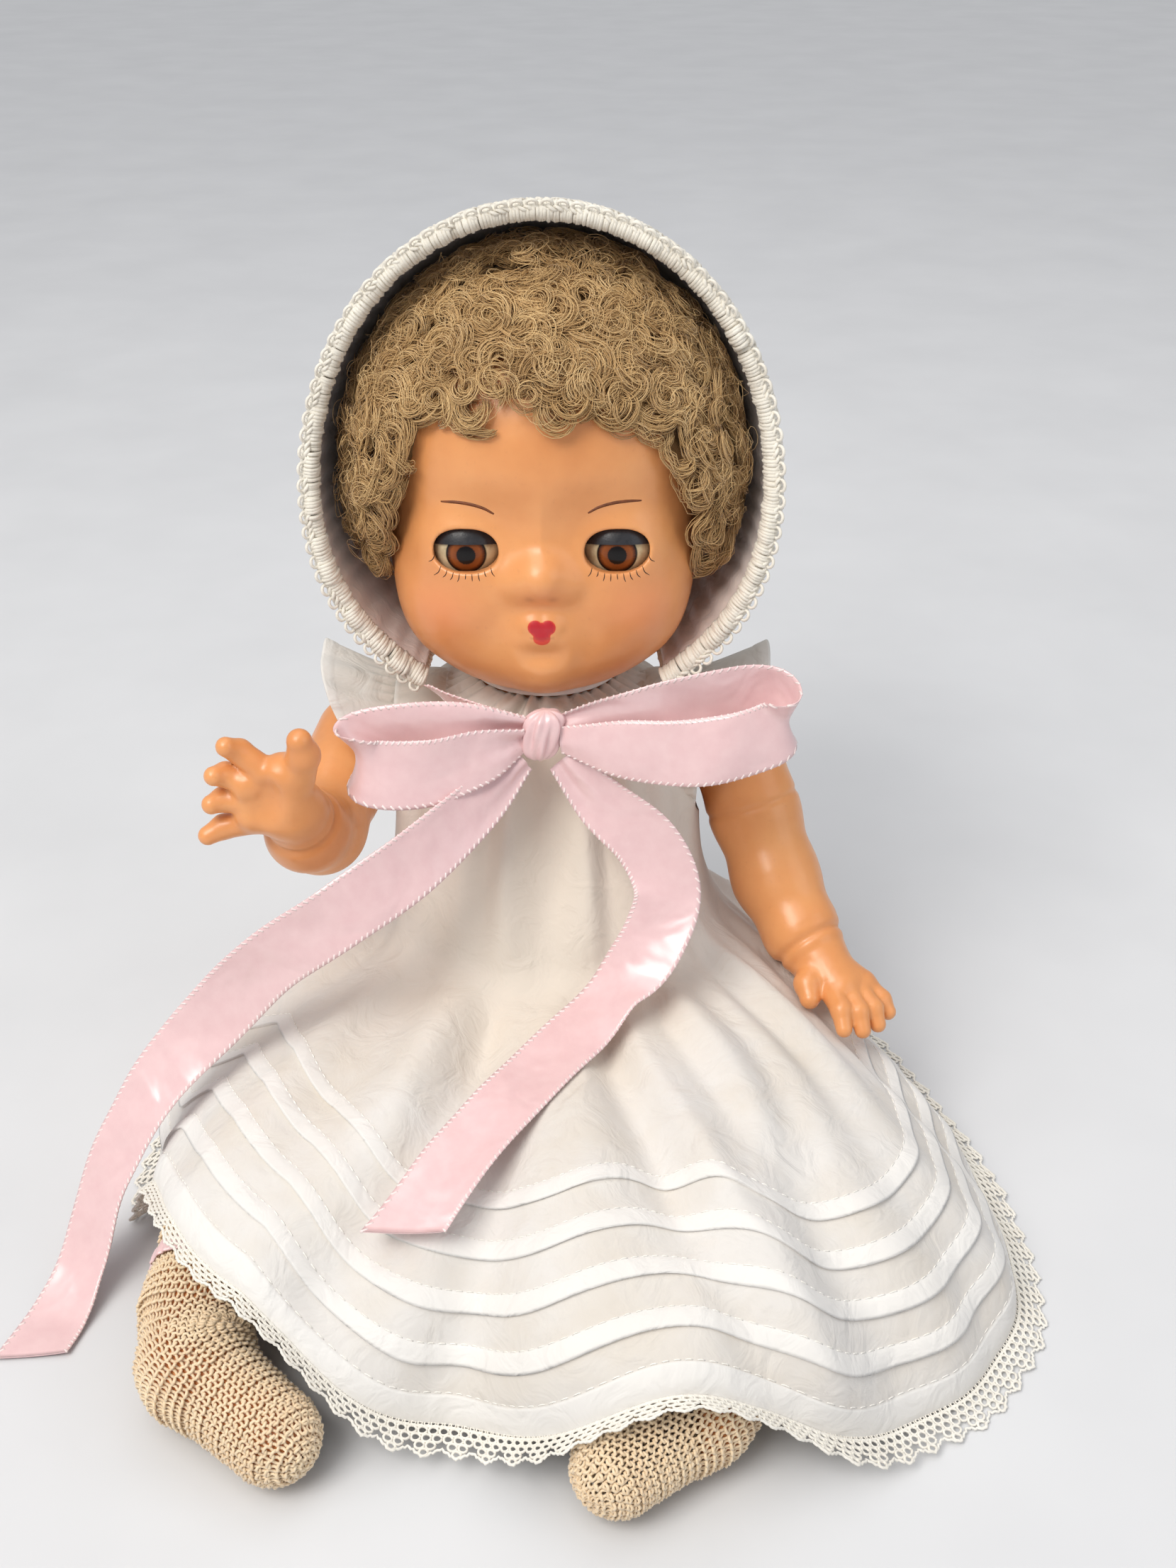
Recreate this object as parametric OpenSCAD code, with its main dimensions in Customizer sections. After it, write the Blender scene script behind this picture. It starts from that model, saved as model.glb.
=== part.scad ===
// Seated baby doll with sleep eyes, wool wig, crocheted bonnet and cotton dress.
// Millimetres. +Z up, the doll faces -Y, its left side is +X.
// Origin: middle of the flat seat under the torso.

/* [Torso] */
// Wall of the moulded torso and head shells
wall = 2; // [1.6:0.1:2.4]
// Radius of the stringing holes in the torso
string_hole_r = 3; // [2.6:0.1:3.4]

/* [Head] */
// Backward lean of the head from upright, degrees
head_lean = 9; // [7:0.5:11]
// Half of the distance between the eyes
eye_x = 11.4; // [11:0.1:11.8]
// Radius of each eyeball
eye_r = 6.1; // [5.8:0.1:6.2]

/* [Stringing] */
// Radius of the elastic cord
elastic_r = 1.1; // [0.9:0.1:1.3]
// Radius of the wire hooks
hook_r = 0.8; // [0.7:0.05:0.9]

/* [Clothes] */
// Thickness that the cotton dress takes
cloth = 1; // [0.8:0.1:1.2]
// Width of the satin ribbon
ribbon_w = 10.5; // [9:0.5:12]
// Thickness that the ribbon takes
ribbon_t = 0.6; // [0.5:0.1:0.8]
// Width of the lace along the hem
lace_w = 6; // [4:0.5:6.5]

/* [Hidden] */

skin = [0.89, 0.55, 0.31];
cotton = [0.95, 0.92, 0.86];
thread = [0.96, 0.93, 0.87];
pink = [0.93, 0.74, 0.74];
steel = [0.6, 0.6, 0.62];
head_c = [0, 22, 106];       // centre of the head
neck_c = [0, 17.5, 77.4];    // centre of the neck ball
shoulder_y = 15.5;
shoulder_z = 62;
hip_y = 2;
hip_z = 14;
eye_y = -16.9;               // eyes in the head's own frame
eye_z = -6;

// ---------- shared geometry ----------
function dot3(a, b) = a[0]*b[0] + a[1]*b[1] + a[2]*b[2];
function unit(v) = v / max(norm(v), 1e-9);
function lerp(a, b, t) = a + (b - a) * t;
function ramp(x, a, b) = let (t = min(1, max(0, (x - a) / (b - a)))) t*t*(3 - 2*t);
function bump(x, c, w) = exp(-pow((x - c) / w, 2));

// Triangles turned so that they all face outward
module solid(pts, faces) {
  v = [for (f = faces) dot3(pts[f[0]], cross(pts[f[1]], pts[f[2]]))];
  total = v * [for (f = faces) 1];
  polyhedron(points = pts, faces = total > 0 ? [for (f = faces) [f[0], f[2], f[1]]] : faces, convexity = 8);
}

function quads(m, n, wrap, o) = [for (i = [0:m-2], j = [0:(wrap ? n-1 : n-2)])
  let (a = o + i*n + j, b = o + i*n + (j+1) % n, c = a + n, d = b + n) each [[a, c, d], [a, d, b]]];
function flip(fs) = [for (f = fs) [f[0], f[2], f[1]]];

// Solid between two grids of the same size, rows then columns.
// pole: the first row closes to a point on each side.
module sheet(P, Q, wrap = false, pole = false) {
  m = len(P); n = len(P[0]); N = m*n;
  cols = wrap ? n-1 : n-2;
  pp = [for (r = P) each r];
  qq = [for (r = Q) each r];
  c0 = pp[0]*0 + [for (k = [0:2]) [for (p = P[0]) p[k]] * [for (p = P[0]) 1/n]];
  c1 = [for (k = [0:2]) [for (p = Q[0]) p[k]] * [for (p = Q[0]) 1/n]];
  pts = concat(pp, qq, [c0, c1]);
  edge = function(i) [for (j = [0:cols]) let (a = i*n + j, b = i*n + (j+1) % n) each [[a, b, N+b], [a, N+b, N+a]]];
  first = pole
    ? [for (j = [0:n-1]) let (a = j, b = (j+1) % n) each [[a, b, 2*N], [N+b, N+a, 2*N+1]]]
    : edge(0);
  sides = wrap ? [] : [for (i = [0:m-2]) let (a = i*n, b = a+n, c = i*n+n-1, d = c+n)
    each [[b, a, N+a], [b, N+a, N+b], [c, d, N+d], [c, N+d, N+c]]];
  solid(pts, concat(quads(m, n, wrap, 0), flip(quads(m, n, wrap, N)), first, flip(edge(m-1)), sides));
}

// Solid through closed rings, with flat fans at the ends
module loft(P) {
  m = len(P); n = len(P[0]); N = m*n;
  mean = function(r) [for (k = [0:2]) [for (p = r) p[k]] * [for (p = r) 1/n]];
  pts = concat([for (r = P) each r], [mean(P[0]), mean(P[m-1])]);
  solid(pts, concat(quads(m, n, true, 0),
    [for (j = [0:n-1]) [j, (j+1) % n, N]],
    [for (j = [0:n-1]) [(m-1)*n + (j+1) % n, (m-1)*n + j, N+1]]));
}

// A point of a rounded-square ring: [z, rx, front, back, cy, tilt, power]
function ring_pt(a, r) = let (c = cos(a), s = sin(a), k = 2/r[6])
  [r[1] * sign(c) * pow(abs(c), k), r[4] + (s < 0 ? r[2] : r[3]) * sign(s) * pow(abs(s), k), r[0] + r[5]*s];
function ring(r, a0, a1, n) = [for (i = [0:n]) ring_pt(a0 + (a1 - a0)*i/n, r)];
function ring_full(r, n) = [for (i = [0:n-1]) ring_pt(360*i/n, r)];

// Round limb through a chain of [point, radius]
module chain(c) {
  for (i = [0:len(c)-2]) hull() {
    translate(c[i][0]) sphere(r = c[i][1], $fn = 16);
    translate(c[i+1][0]) sphere(r = c[i+1][1], $fn = 16);
  }
}

// Flat ribbon along a path of [point, width direction, half width]
module ribbon(path, t = ribbon_t) {
  m = len(path);
  tan = [for (i = [0:m-1]) unit(path[min(i+1, m-1)][0] - path[max(i-1, 0)][0])];
  nrm = [for (i = [0:m-1]) unit(cross(tan[i], path[i][1]))];
  side = [for (i = [0:m-1]) unit(cross(nrm[i], tan[i])) * path[i][2]];
  P = [for (i = [0:m-1]) [for (k = [-1, 0, 1]) path[i][0] + side[i]*k + nrm[i]*t/2]];
  Q = [for (i = [0:m-1]) [for (k = [-1, 0, 1]) path[i][0] + side[i]*k - nrm[i]*t/2]];
  sheet(P, Q);
}

// Smooth curve through points
function cr(p0, p1, p2, p3, t) = 0.5*((2*p1) + (p2 - p0)*t + (2*p0 - 5*p1 + 4*p2 - p3)*t*t + (3*p1 - p0 - 3*p2 + p3)*t*t*t);
function smooth_path(p, k) = let (m = len(p)) concat(
  [for (i = [0:m-2], j = [0:k-1]) let (a = p[max(i-1, 0)], b = p[i], c = p[i+1], d = p[min(i+2, m-1)])
    [for (q = [0:2]) q < 2 ? cr(a[q], b[q], c[q], d[q], j/k) : lerp(b[q], c[q], j/k)]],
  [p[m-1]]);

module along_x(x0, x1, y, z, r) translate([x0, y, z]) rotate([0, 90, 0]) cylinder(r = r, h = x1 - x0, $fn = 48);
module head_frame() translate(head_c) rotate([-head_lean, 0, 0]) children();

// ---------- torso ----------
// [z, rx, front, back, cy, tilt, power], from the middle of the seat up and down into the neck socket
torso_out = [
  [0, 1, 1, 1, 1, 0, 2], [0, 16, 13, 12, 1.6, 0, 2.2], [1.6, 18.4, 15.6, 14.4, 2, 0, 2.3], [6, 20.6, 18.5, 17, 2.6, 0, 2.5],
  [13, 21.8, 20.5, 19, 4, 0, 2.6], [21, 22.2, 21.3, 19.5, 5, 0, 2.5], [30, 23.4, 21.5, 19, 6.5, 0, 2.4],
  [40, 24, 20.3, 17.5, 9, 0, 2.3], [50, 23.6, 17.8, 15.5, 11.7, 0, 2.3], [59, 23.2, 15.2, 14, 14.3, 0, 2.3],
  [65, 21.6, 13.2, 12.8, 15.8, 0, 2.2], [70, 17.6, 11.6, 11.4, 16.6, 0, 2.1], [73.4, 13, 10.6, 10.6, 17.2, 0, 2],
  [74.9, 10.3, 10, 10, 17.4, 0, 2], [74.4, 9.2, 9.2, 9.2, 17.5, 0, 2], [72.2, 7.9, 7.9, 7.9, 17.5, 0, 2],
  [69.8, 5.9, 5.9, 5.9, 17.5, 0, 2], [68.6, 3.6, 3.6, 3.6, 17.5, 0, 2]];
torso_in = [
  [wall, 1, 1, 1, 1, 0, 2], [wall, 13, 10.5, 9.5, 1.6, 0, 2.2], [1.6+1.3, 16.3, 13.6, 12.2, 2, 0, 2.3], [7, 18.7, 16.7, 15.1, 2.6, 0, 2.5],
  [13, 21.8-wall, 20.5-wall, 19-wall, 4, 0, 2.6], [21, 22.2-wall, 21.3-wall, 19.5-wall, 5, 0, 2.5], [30, 23.4-wall, 21.5-wall, 19-wall, 6.5, 0, 2.4],
  [40, 24-wall, 20.3-wall, 17.5-wall, 9, 0, 2.3], [50, 23.6-wall, 17.8-wall, 15.5-wall, 11.7, 0, 2.3], [58.5, 23.2-wall, 15.2-wall, 14-wall, 14.3, 0, 2.3],
  [63.6, 19.9, 11.4, 11, 15.8, 0, 2.2], [67.8, 16.4, 10.4, 10.2, 16.6, 0, 2.1], [70.4, 12.6, 10.0, 10.0, 17.2, 0, 2],
  [70.6, 11.4, 10.0, 10.0, 17.4, 0, 2], [69.8, 10.4, 9.9, 9.9, 17.5, 0, 2], [68.6, 8.6, 8.6, 8.6, 17.5, 0, 2],
  [67.2, 6.3, 6.3, 6.3, 17.5, 0, 2], [66.6, 3.6, 3.6, 3.6, 17.5, 0, 2]];
module torso_half(a0, a1) difference() {
  sheet([for (r = torso_out) ring(r, a0, a1, 12)], [for (r = torso_in) ring(r, a0, a1, 12)]);
  along_x(-40, 40, shoulder_y, shoulder_z, string_hole_r);
  along_x(-40, 40, hip_y, hip_z, string_hole_r);
}
module torso_front() color(skin) torso_half(180, 360);
module torso_back() color(skin) torso_half(0, 180);

// ---------- elastic and hooks ----------
// Loop of elastic round a shank that lies along X
module eye_loop_x(x, y, z) translate([x, y, z]) rotate([0, 90, 0]) rotate_extrude($fn = 40) translate([hook_r + 0.25 + elastic_r, 0]) circle(r = elastic_r, $fn = 20);
module rod(a, b, r) { v = b - a; l = norm(v); translate(a) rotate([0, acos(v[2]/l), atan2(v[1], v[0])]) cylinder(r = r, h = l, $fn = 32); }
loop_r = hook_r + 0.25 + elastic_r;
module arm_elastic() color([0.2, 0.2, 0.2]) union() {
  eye_loop_x(18, shoulder_y, shoulder_z);
  eye_loop_x(-18, shoulder_y, shoulder_z);
  rod([-18, shoulder_y - loop_r - 1.1, shoulder_z], [18, shoulder_y - loop_r - 1.1, shoulder_z], elastic_r);
}
module leg_elastic() color([0.2, 0.2, 0.2]) union() {
  for (s = [-1, 1]) {
    eye_loop_x(s*16, hip_y, hip_z);
    rod([s*16, hip_y, hip_z + loop_r], [s*1.6, 17.5 + loop_r + 1.5, 56.8], elastic_r);
  }
  translate([0, 17.5, 57]) rotate_extrude($fn = 40) translate([loop_r + 0.6, 0]) circle(r = elastic_r, $fn = 20);
}
// Wire hook set in a limb: shank through the torso wall and a turned-over end that keeps the elastic on
module limb_hook(s, x0, x1, y, z) {
  translate([s > 0 ? x0 : -x1, y, z]) rotate([0, 90, 0]) cylinder(r = hook_r, h = x1 - x0, $fn = 40);
  translate([s > 0 ? x0 - 1 : -x0, y, z]) rotate([0, 90, 0]) cylinder(r = 2, h = 1, $fn = 40);
}
module left_arm_hook() color(steel) limb_hook(1, 15.8, 27, shoulder_y, shoulder_z);
module right_arm_hook() color(steel) limb_hook(-1, 15.8, 27, shoulder_y, shoulder_z);
module left_leg_hook() color(steel) limb_hook(1, 13.8, 28, hip_y, hip_z);
module right_leg_hook() color(steel) limb_hook(-1, 13.8, 28, hip_y, hip_z);

// ---------- neck ----------
module neck_button() color([0.72, 0.56, 0.36]) translate(neck_c) rotate([-head_lean, 0, 0]) difference() {
  translate([0, 0, -4.3]) cylinder(r = 4.2, h = 2.2, $fn = 48);
  rotate([head_lean, 0, 0]) translate([0, 0, -6]) cylinder(r = hook_r + 0.05, h = 5, $fn = 40);
}
module neck_hook() color(steel) translate([0, 17.5, 0]) union() {
  translate([0, 0, 56]) cylinder(r = hook_r, h = 17.6, $fn = 40);
  translate([0, 0, 55]) cylinder(r = 2, h = 1, $fn = 40);
}

// ---------- head ----------
head_rows = [
  [-23, 8.2, 8.2, 8.2, 0, 0, 2], [-26, 12.5, 13, 11, -1, 4, 2], [-27, 17, 19, 15, -1.5, 5, 2.05], [-23.6, 20.5, 22.6, 19, -1.5, 4.8, 2.1],
  [-18, 23.5, 24.4, 22.5, -1, 3, 2.2], [-12, 25.6, 25.3, 25.5, 0, 2, 2.25], [-6, 26.8, 25.5, 27, 0.5, 1, 2.25],
  [0, 27.3, 26, 28.3, 1, 0, 2.25], [7, 27.2, 26.5, 28.8, 1.3, 0, 2.2], [14, 26, 25.3, 27.6, 1.6, 0, 2.15],
  [20, 23.6, 22.8, 25, 1.8, 0, 2.1], [25.5, 19.8, 19, 21, 2, 0, 2.05], [29.8, 14.5, 14, 15.5, 2.2, 0, 2],
  [32.3, 8.5, 8.2, 9, 2.3, 0, 2], [33.2, 2.5, 2.5, 2.5, 2.4, 0, 2]];
head_mid = [0, 0.8, 2];
module head_half(a0, a1) {
  P = [for (r = head_rows) ring(r, a0, a1, 14)];
  sheet(P, [for (r = P) [for (p = r) head_mid + (p - head_mid)*(1 - wall/27)]]);
}
// Opening for one eye, with room for the eyeball behind it
module eye_cut(s) {
  hull() for (d = [-1.5, 1.5]) translate([s*eye_x + d, eye_y, eye_z]) rotate([90, 0, 0]) cylinder(r = 3.4, h = 14, $fn = 28);
  hull() { translate([s*eye_x, eye_y, eye_z]) sphere(r = eye_r + 0.75, $fn = 32); }
}
module head_face() color(skin) head_frame() union() {
  difference() {
    union() {
      head_half(180, 360);
      hull() { translate([0, -25.4, -10]) sphere(r = 2.7, $fn = 18); translate([0, -23.6, -3]) sphere(r = 1.8, $fn = 14); }
      hull() for (x = [-1.6, 1.6]) translate([x, -25, -11.4]) sphere(r = 1.9, $fn = 14);
      hull() for (x = [-1.1, 1.1]) translate([x, -24.9, -18.4]) sphere(r = 1.2, $fn = 14);
      hull() for (x = [-0.7, 0.7]) translate([x, -24.6, -20.2]) sphere(r = 1.1, $fn = 14);
    }
    for (s = [-1, 1]) eye_cut(s);
  }
}
module head_back() color(skin) head_frame() head_half(0, 180);
// Ball end of the neck that sits in the torso's socket
module neck_flange() color(skin) translate(neck_c) rotate([-head_lean, 0, 0]) difference() {
  union() {
    sphere(r = 8.4, $fn = 64);
    cylinder(r = 7.5, h = 8.5, $fn = 64);
  }
  sphere(r = 6.6, $fn = 64);
  cylinder(r = 5.6, h = 12, $fn = 64);
  translate([0, 0, -12]) cylinder(r = 3.4, h = 12, $fn = 48);
}

// ---------- sleep eyes ----------
module eyeball(s) head_frame() translate([s*eye_x, eye_y, eye_z]) rotate([0, 90, 0]) rotate_extrude($fn = 64) intersection() {
  circle(r = eye_r, $fn = 64);
  translate([0.72, -10]) square([10, 20]);
}
module left_eyeball() color([0.45, 0.22, 0.1]) eyeball(1);
module right_eyeball() color([0.45, 0.22, 0.1]) eyeball(-1);
// Upper lid: part of a thin ball shell, from the back over the top to just above the iris
module eyelid(s) head_frame() translate([s*eye_x, eye_y, eye_z]) rotate([0, 90, 0])
  rotate([0, 0, 167]) intersection() {
    difference() { sphere(r = eye_r + 0.35, $fn = 64); sphere(r = eye_r + 0.03, $fn = 64); }
    rotate_extrude(angle = 95, $fn = 64) translate([0, -eye_r]) square([eye_r*2, eye_r*2]);
  }
module left_eyelid() color([0.2, 0.19, 0.18]) eyelid(1);
module right_eyelid() color([0.2, 0.19, 0.18]) eyelid(-1);
module eye_axle() color(steel) head_frame() along_x(-16.5, 16.5, eye_y, eye_z, 0.7);
module eye_counterweight() color([0.4, 0.4, 0.42]) head_frame() translate([0, eye_y, eye_z]) rotate([12, 0, 0]) difference() {
  union() {
    along_x(-1.5, 1.5, 0, 0, 1.7);
    translate([0, 0, -12]) cylinder(r = 0.7, h = 11, $fn = 24);
    along_x(-3.2, 3.2, 0, -13.2, 2.9);
  }
  along_x(-5, 5, 0, 0, 0.72);
}
module eye_bracket() color([0.85, 0.82, 0.76]) head_frame() difference() {
  union() {
    for (x = [-4.5, 2.6]) translate([x, -21.2, eye_z - 3]) cube([1.9, 6.6, 6]);
    translate([-4.5, -21.8, eye_z - 3]) cube([9, 1.6, 6]);
  }
  along_x(-6, 6, eye_y, eye_z, 0.76);
}

// ---------- wig ----------
wig_mid = [0, 2.2, 3];
function scalp(a, f) = let (d = [sin(f)*cos(a), sin(f)*sin(a), cos(f)])
  [d, 1 / sqrt(pow(d[0]/27.6, 2) + pow(d[1]/29, 2) + pow(d[2]/30.5, 2))];
function from_front(a) = abs(((a - 270 + 540) % 360) - 180);
function hair_edge(a) = let (t = from_front(a)) 67 + 46*ramp(t, 28, 78) + 12*ramp(t, 100, 170);
function wig_grid(off, short) = [for (i = [0:10]) [for (j = [0:29])
  let (a = 360*j/30, f = 2 + (hair_edge(a) - 2 - short)*i/10, s = scalp(a, f), edge = ramp(i, 7, 10))
  wig_mid + s[0]*(s[1] + (off > 3 ? lerp(off, 3.4, edge*edge) : off))]];
module wig() color([0.66, 0.5, 0.3]) head_frame() sheet(wig_grid(5.1, 0), wig_grid(1.35, 0), wrap = true, pole = true);

// ---------- bonnet ----------
// t: angle round the face opening from the top; u: 0 at the back of the crown, 90 at the rim
function bonnet_pt(t, u, off) = let (rx = 34.9 + off, rz = (abs(t) > 90 ? 36 : 38.4) + off,
  yr = -5 - 8*ramp(abs(t), 60, 150), yb = 39.6 + off, su = pow(max(0, sin(u)), 0.86))
  [rx*sin(t)*su, yr + (yb - yr)*cos(u), 3 + rz*cos(t)*su - 3*cos(t)*cos(u)];
function bonnet_grid(u0, u1, n, off, off1) = [for (i = [0:n]) [for (j = [0:28]) let (t = -149 + 298*j/28, cut = u1 > 90 ? 9*ramp(abs(t), 90, 145) : 0)
  bonnet_pt(t, lerp(u0, u1 - cut, i/n), lerp(off, off1, i/n))]];
module bonnet_crown() color(thread) head_frame() sheet(bonnet_grid(14, 78, 9, 1, 1), bonnet_grid(14, 78, 9, 0, 0));
module bonnet_brim() color(thread) head_frame() sheet(bonnet_grid(78.2, 104, 5, 1.6, 2.4), bonnet_grid(78.2, 104, 5, 0, 0.6));
module bonnet_lining_ribbon() color([0.95, 0.9, 0.88]) head_frame() sheet(bonnet_grid(80, 101, 4, -0.15, 0.3), bonnet_grid(80, 101, 4, -0.5, -0.05));
module bonnet_back_rosette() color(thread) head_frame() translate([0, 38.6, 3]) rotate([-90, 0, 0]) difference() {
  cylinder(r = 8.2, h = 1.4, $fn = 48);
  for (k = [0:5]) rotate([0, 0, 60*k]) translate([5, 0, -1]) cylinder(r = 1.2, h = 4, $fn = 24);
}

// ---------- arms ----------
left_arm_pts = [[[31.5, 15.5, 62], 8.2], [[35.6, 10.4, 50.8], 7.4], [[39.2, 4, 41.4], 7.1], [[43.2, -3, 35], 6], [[46.2, -7.4, 31.7], 4.8]];
module left_arm() color(skin) difference() {
  union() {
    chain(left_arm_pts);
    // palm, four fingers and thumb
    hull() { translate([46.2, -7.4, 31.7]) sphere(r = 4.8, $fn = 18); for (p = [[47.4, -13.4, 30.5], [52, -11, 29.3]]) translate(p) sphere(r = 3.2, $fn = 16); }
    for (f = [[[47.6, -14.9, 30.1], [48.6, -20.6, 27.7]], [[49.8, -14.2, 29.7], [51.8, -19.8, 27.1]], [[51.8, -13, 29.3], [54.6, -17.8, 26.7]], [[53.2, -11, 28.9], [56.6, -14.6, 27.1]]])
      hull() { translate(f[0]) sphere(r = 2.1, $fn = 12); translate(f[1]) sphere(r = 1.7, $fn = 12); }
    hull() { translate([44.4, -10.4, 31.1]) sphere(r = 2.6, $fn = 14); translate([43.8, -15, 29.5]) sphere(r = 2, $fn = 14); }
  }
  translate([-1, -20, 0]) cube([25.2, 60, 90]);
  along_x(20, 27.2, shoulder_y, shoulder_z, hook_r + 0.02);
}
right_arm_pts = [[[-31.5, 15.5, 62], 8.2], [[-35.2, 5, 58.5], 7.3], [[-36.6, -4.5, 56.5], 7.1], [[-37.2, -12.5, 61], 6.2], [[-37.8, -16.5, 66.5], 5]];
module right_arm() color(skin) difference() {
  union() {
    chain(right_arm_pts);
    hull() { translate([-37.5, -16.5, 66.5]) sphere(r = 5, $fn = 16); for (p = [[-37.5, -20.5, 76], [-43.5, -19.5, 68]]) translate(p) sphere(r = 3.6, $fn = 14); }
    for (f = [[[-41, -20.5, 76.5], [-47.2, -20.5, 80]], [[-43, -20.5, 73.5], [-49.4, -20.8, 75.4]], [[-44, -20, 70], [-50.2, -20.4, 70.4]], [[-43.8, -19.4, 66.6], [-51.4, -19.8, 64.6]]])
      hull() { translate(f[0]) sphere(r = 2.3, $fn = 12); translate(f[1]) sphere(r = 1.9, $fn = 12); }
    hull() { translate([-36.5, -20.8, 76]) sphere(r = 2.8, $fn = 16); translate([-34.8, -22.6, 82]) sphere(r = 2.3, $fn = 16); }
  }
  translate([-24.2, -30, 0]) cube([25.2, 70, 90]);
  along_x(-27.2, -20, shoulder_y, shoulder_z, hook_r + 0.02);
}
// Flutter sleeve: a flared ring round the shoulder, long over the top and slit under the arm
function sleeve_pt(s, b, u, off) = let (long = pow(max(0, cos(b)), 0.8), wave = 0.9*u*sin(b*9)*long,
  x = 24.4 + u*(0.7 + 12.2*long), r = 10.9 + off + u*long*(5.2 + wave) )
  [s*x, shoulder_y + r*sin(b), shoulder_z + r*cos(b)];
module sleeve(s) sheet([for (i = [0:4]) [for (j = [0:31]) sleeve_pt(s, j*360/32, i/4, 0.8)]],
  [for (i = [0:4]) [for (j = [0:31]) sleeve_pt(s, j*360/32, i/4, 0)]], wrap = true);
module left_sleeve() color(cotton) sleeve(1);
module right_sleeve() color(cotton) sleeve(-1);

// ---------- legs and socks ----------
left_leg_pts = [[[32, 2, 14], 10.8], [[37, -20, 13.4], 10.4], [[42, -40, 14.6], 9.6], [[35.5, -58, 13], 8.4], [[27, -73, 10.6], 7.2], [[22.5, -80, 8.5], 6.8], [[11, -89, 7.4], 5.8]];
right_leg_pts = [[[-32, 2, 14], 10.8], [[-38, -19, 13.4], 10.4], [[-43.4, -37, 14.6], 9.5], [[-47.5, -52, 13], 8.3], [[-49.8, -63.5, 10.8], 7.2], [[-49, -73, 8.5], 6.8], [[-36, -84, 7.4], 5.8]];
module leg(c, s) difference() {
  chain(c);
  translate([s > 0 ? -22 : -22.9, -40, -2]) cube([44.9, 70, 60]);
  along_x(s > 0 ? 20 : -28.2, s > 0 ? 28.2 : -20, hip_y, hip_z, hook_r + 0.02);
}
module left_leg() color(skin) leg(left_leg_pts, 1);
module right_leg() color(skin) leg(right_leg_pts, -1);
function grow(c, d) = [for (p = c) [p[0], p[1] + d]];
module sock(c) {
  foot = [c[3], c[4], c[5], c[6]];
  ax = unit(c[3][0] - c[4][0]);
  difference() {
    chain(grow(foot, 1.25));
    chain(grow(foot, 0.25));
    hull() for (k = [0.2, 30]) translate(c[3][0] + ax*(k + 11.2)) sphere(r = 14, $fn = 24);
    hull() translate(c[3][0]) sphere(r = 8.5, $fn = 18);
  }
}
module left_sock() color(thread) sock(left_leg_pts);
module right_sock() color(thread) sock(right_leg_pts);
// Ribbon round the ankle of a sock
module ankle_ribbon(c) {
  p = lerp(c[4][0], c[3][0], 0.42); ax = unit(c[3][0] - c[4][0]); l = norm(c[3][0] - c[4][0]);
  r = lerp(c[4][1], c[3][1], 0.42) + 1.62;
  translate(p) rotate([0, acos(ax[2]), atan2(ax[1], ax[0])]) translate([0, 0, -1.2]) difference() {
    cylinder(r1 = r + 0.35, r2 = r + 0.75, h = 2.4, $fn = 48);
    translate([0, 0, -1]) cylinder(r1 = r - 0.17, r2 = r + 0.56, h = 4.4, $fn = 48);
  }
}
module left_sock_ribbon() color(pink) ankle_ribbon(left_leg_pts);
module right_sock_ribbon() color(pink) ankle_ribbon(right_leg_pts);

// ---------- dress ----------
bodice_rows = [
  [75.4, 12.4, 12, 12, 17.4, 0, 2], [74.2, 15.4, 13.2, 13.2, 17.2, 0, 2], [71.4, 20.4, 14.6, 14.4, 16.6, 0, 2.1], [66.6, 24.6, 16.4, 15.8, 15.8, 0, 2.2],
  [60, 26.3, 18.6, 17, 14.4, 0, 2.3], [51, 26, 21.4, 19, 12, 0, 2.3], [42, 27, 24.4, 21.4, 9.6, 0, 2.2], [34.6, 29.4, 26, 23.6, 7.6, 0, 2.1]];
function thin(r, d) = [r[0] - (r[0] > 70 ? d : 0), r[1] - d, r[2] - d, r[3] - d, r[4], r[5], r[6]];
module dress_bodice() color(cotton) difference() {
  sheet([for (r = bodice_rows) ring_full(r, 32)], [for (r = bodice_rows) ring_full(thin(r, cloth), 32)], wrap = true);
  along_x(-45, -16, shoulder_y, shoulder_z, 12.1);
  along_x(16, 45, shoulder_y, shoulder_z, 12.1);
}
module dress_neck_binding() color(cotton) translate([0, 17.4, 75.6]) rotate_extrude($fn = 64) translate([11.2, 0]) square([1.6, 1.4]);
// Plan angle a: 0 is +X, 270 the front. The hem is lifted where a foot comes out from under it
function foot_lift(x, y) = y > -30 ? 0 : min(23, 25*bump(x, -47, 21) + 19*bump(x, 19, 20)) * ramp(-y, 30, 46);
function hem_xy(a) = let (b = (a + 180) % 360 - 180, k = 14*bump(b, -30, 26), m = 9*bump(b, -102, 16))
  [1 + (65 + k - m)*cos(a), -20 + ((sin(a) < 0 ? 70 : 60) + k - m)*sin(a)];
function waist_xy(a) = let (p = ring_pt(a, bodice_rows[7])) [p[0], p[1]];
function skirt_pt(a, s, off) = let (w = waist_xy(a), h = hem_xy(a), t = pow(s, 0.9),
  out = unit([h[0] - w[0], h[1] - w[1]]), xy = lerp(w, h, t), z1 = 0.5 + foot_lift(h[0], h[1]),
  flank = pow(max(0, cos(a)), 1.5)*ramp(sin(a), -0.75, -0.1) + 0.35*pow(max(0, -cos(a)), 2),
  z = z1 + (34.4 - z1)*lerp(pow(1 - pow(t, 3.1), 0.55), pow(1 - t, 0.8), min(1, flank)), side = ramp(s, 0.3, 0.95))
  [xy[0] - out[0]*off*side, xy[1] - out[1]*off*side, z - off*(1 - 0.55*side)*(1 - ramp(s, 0.93, 1)*0.9)];
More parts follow.
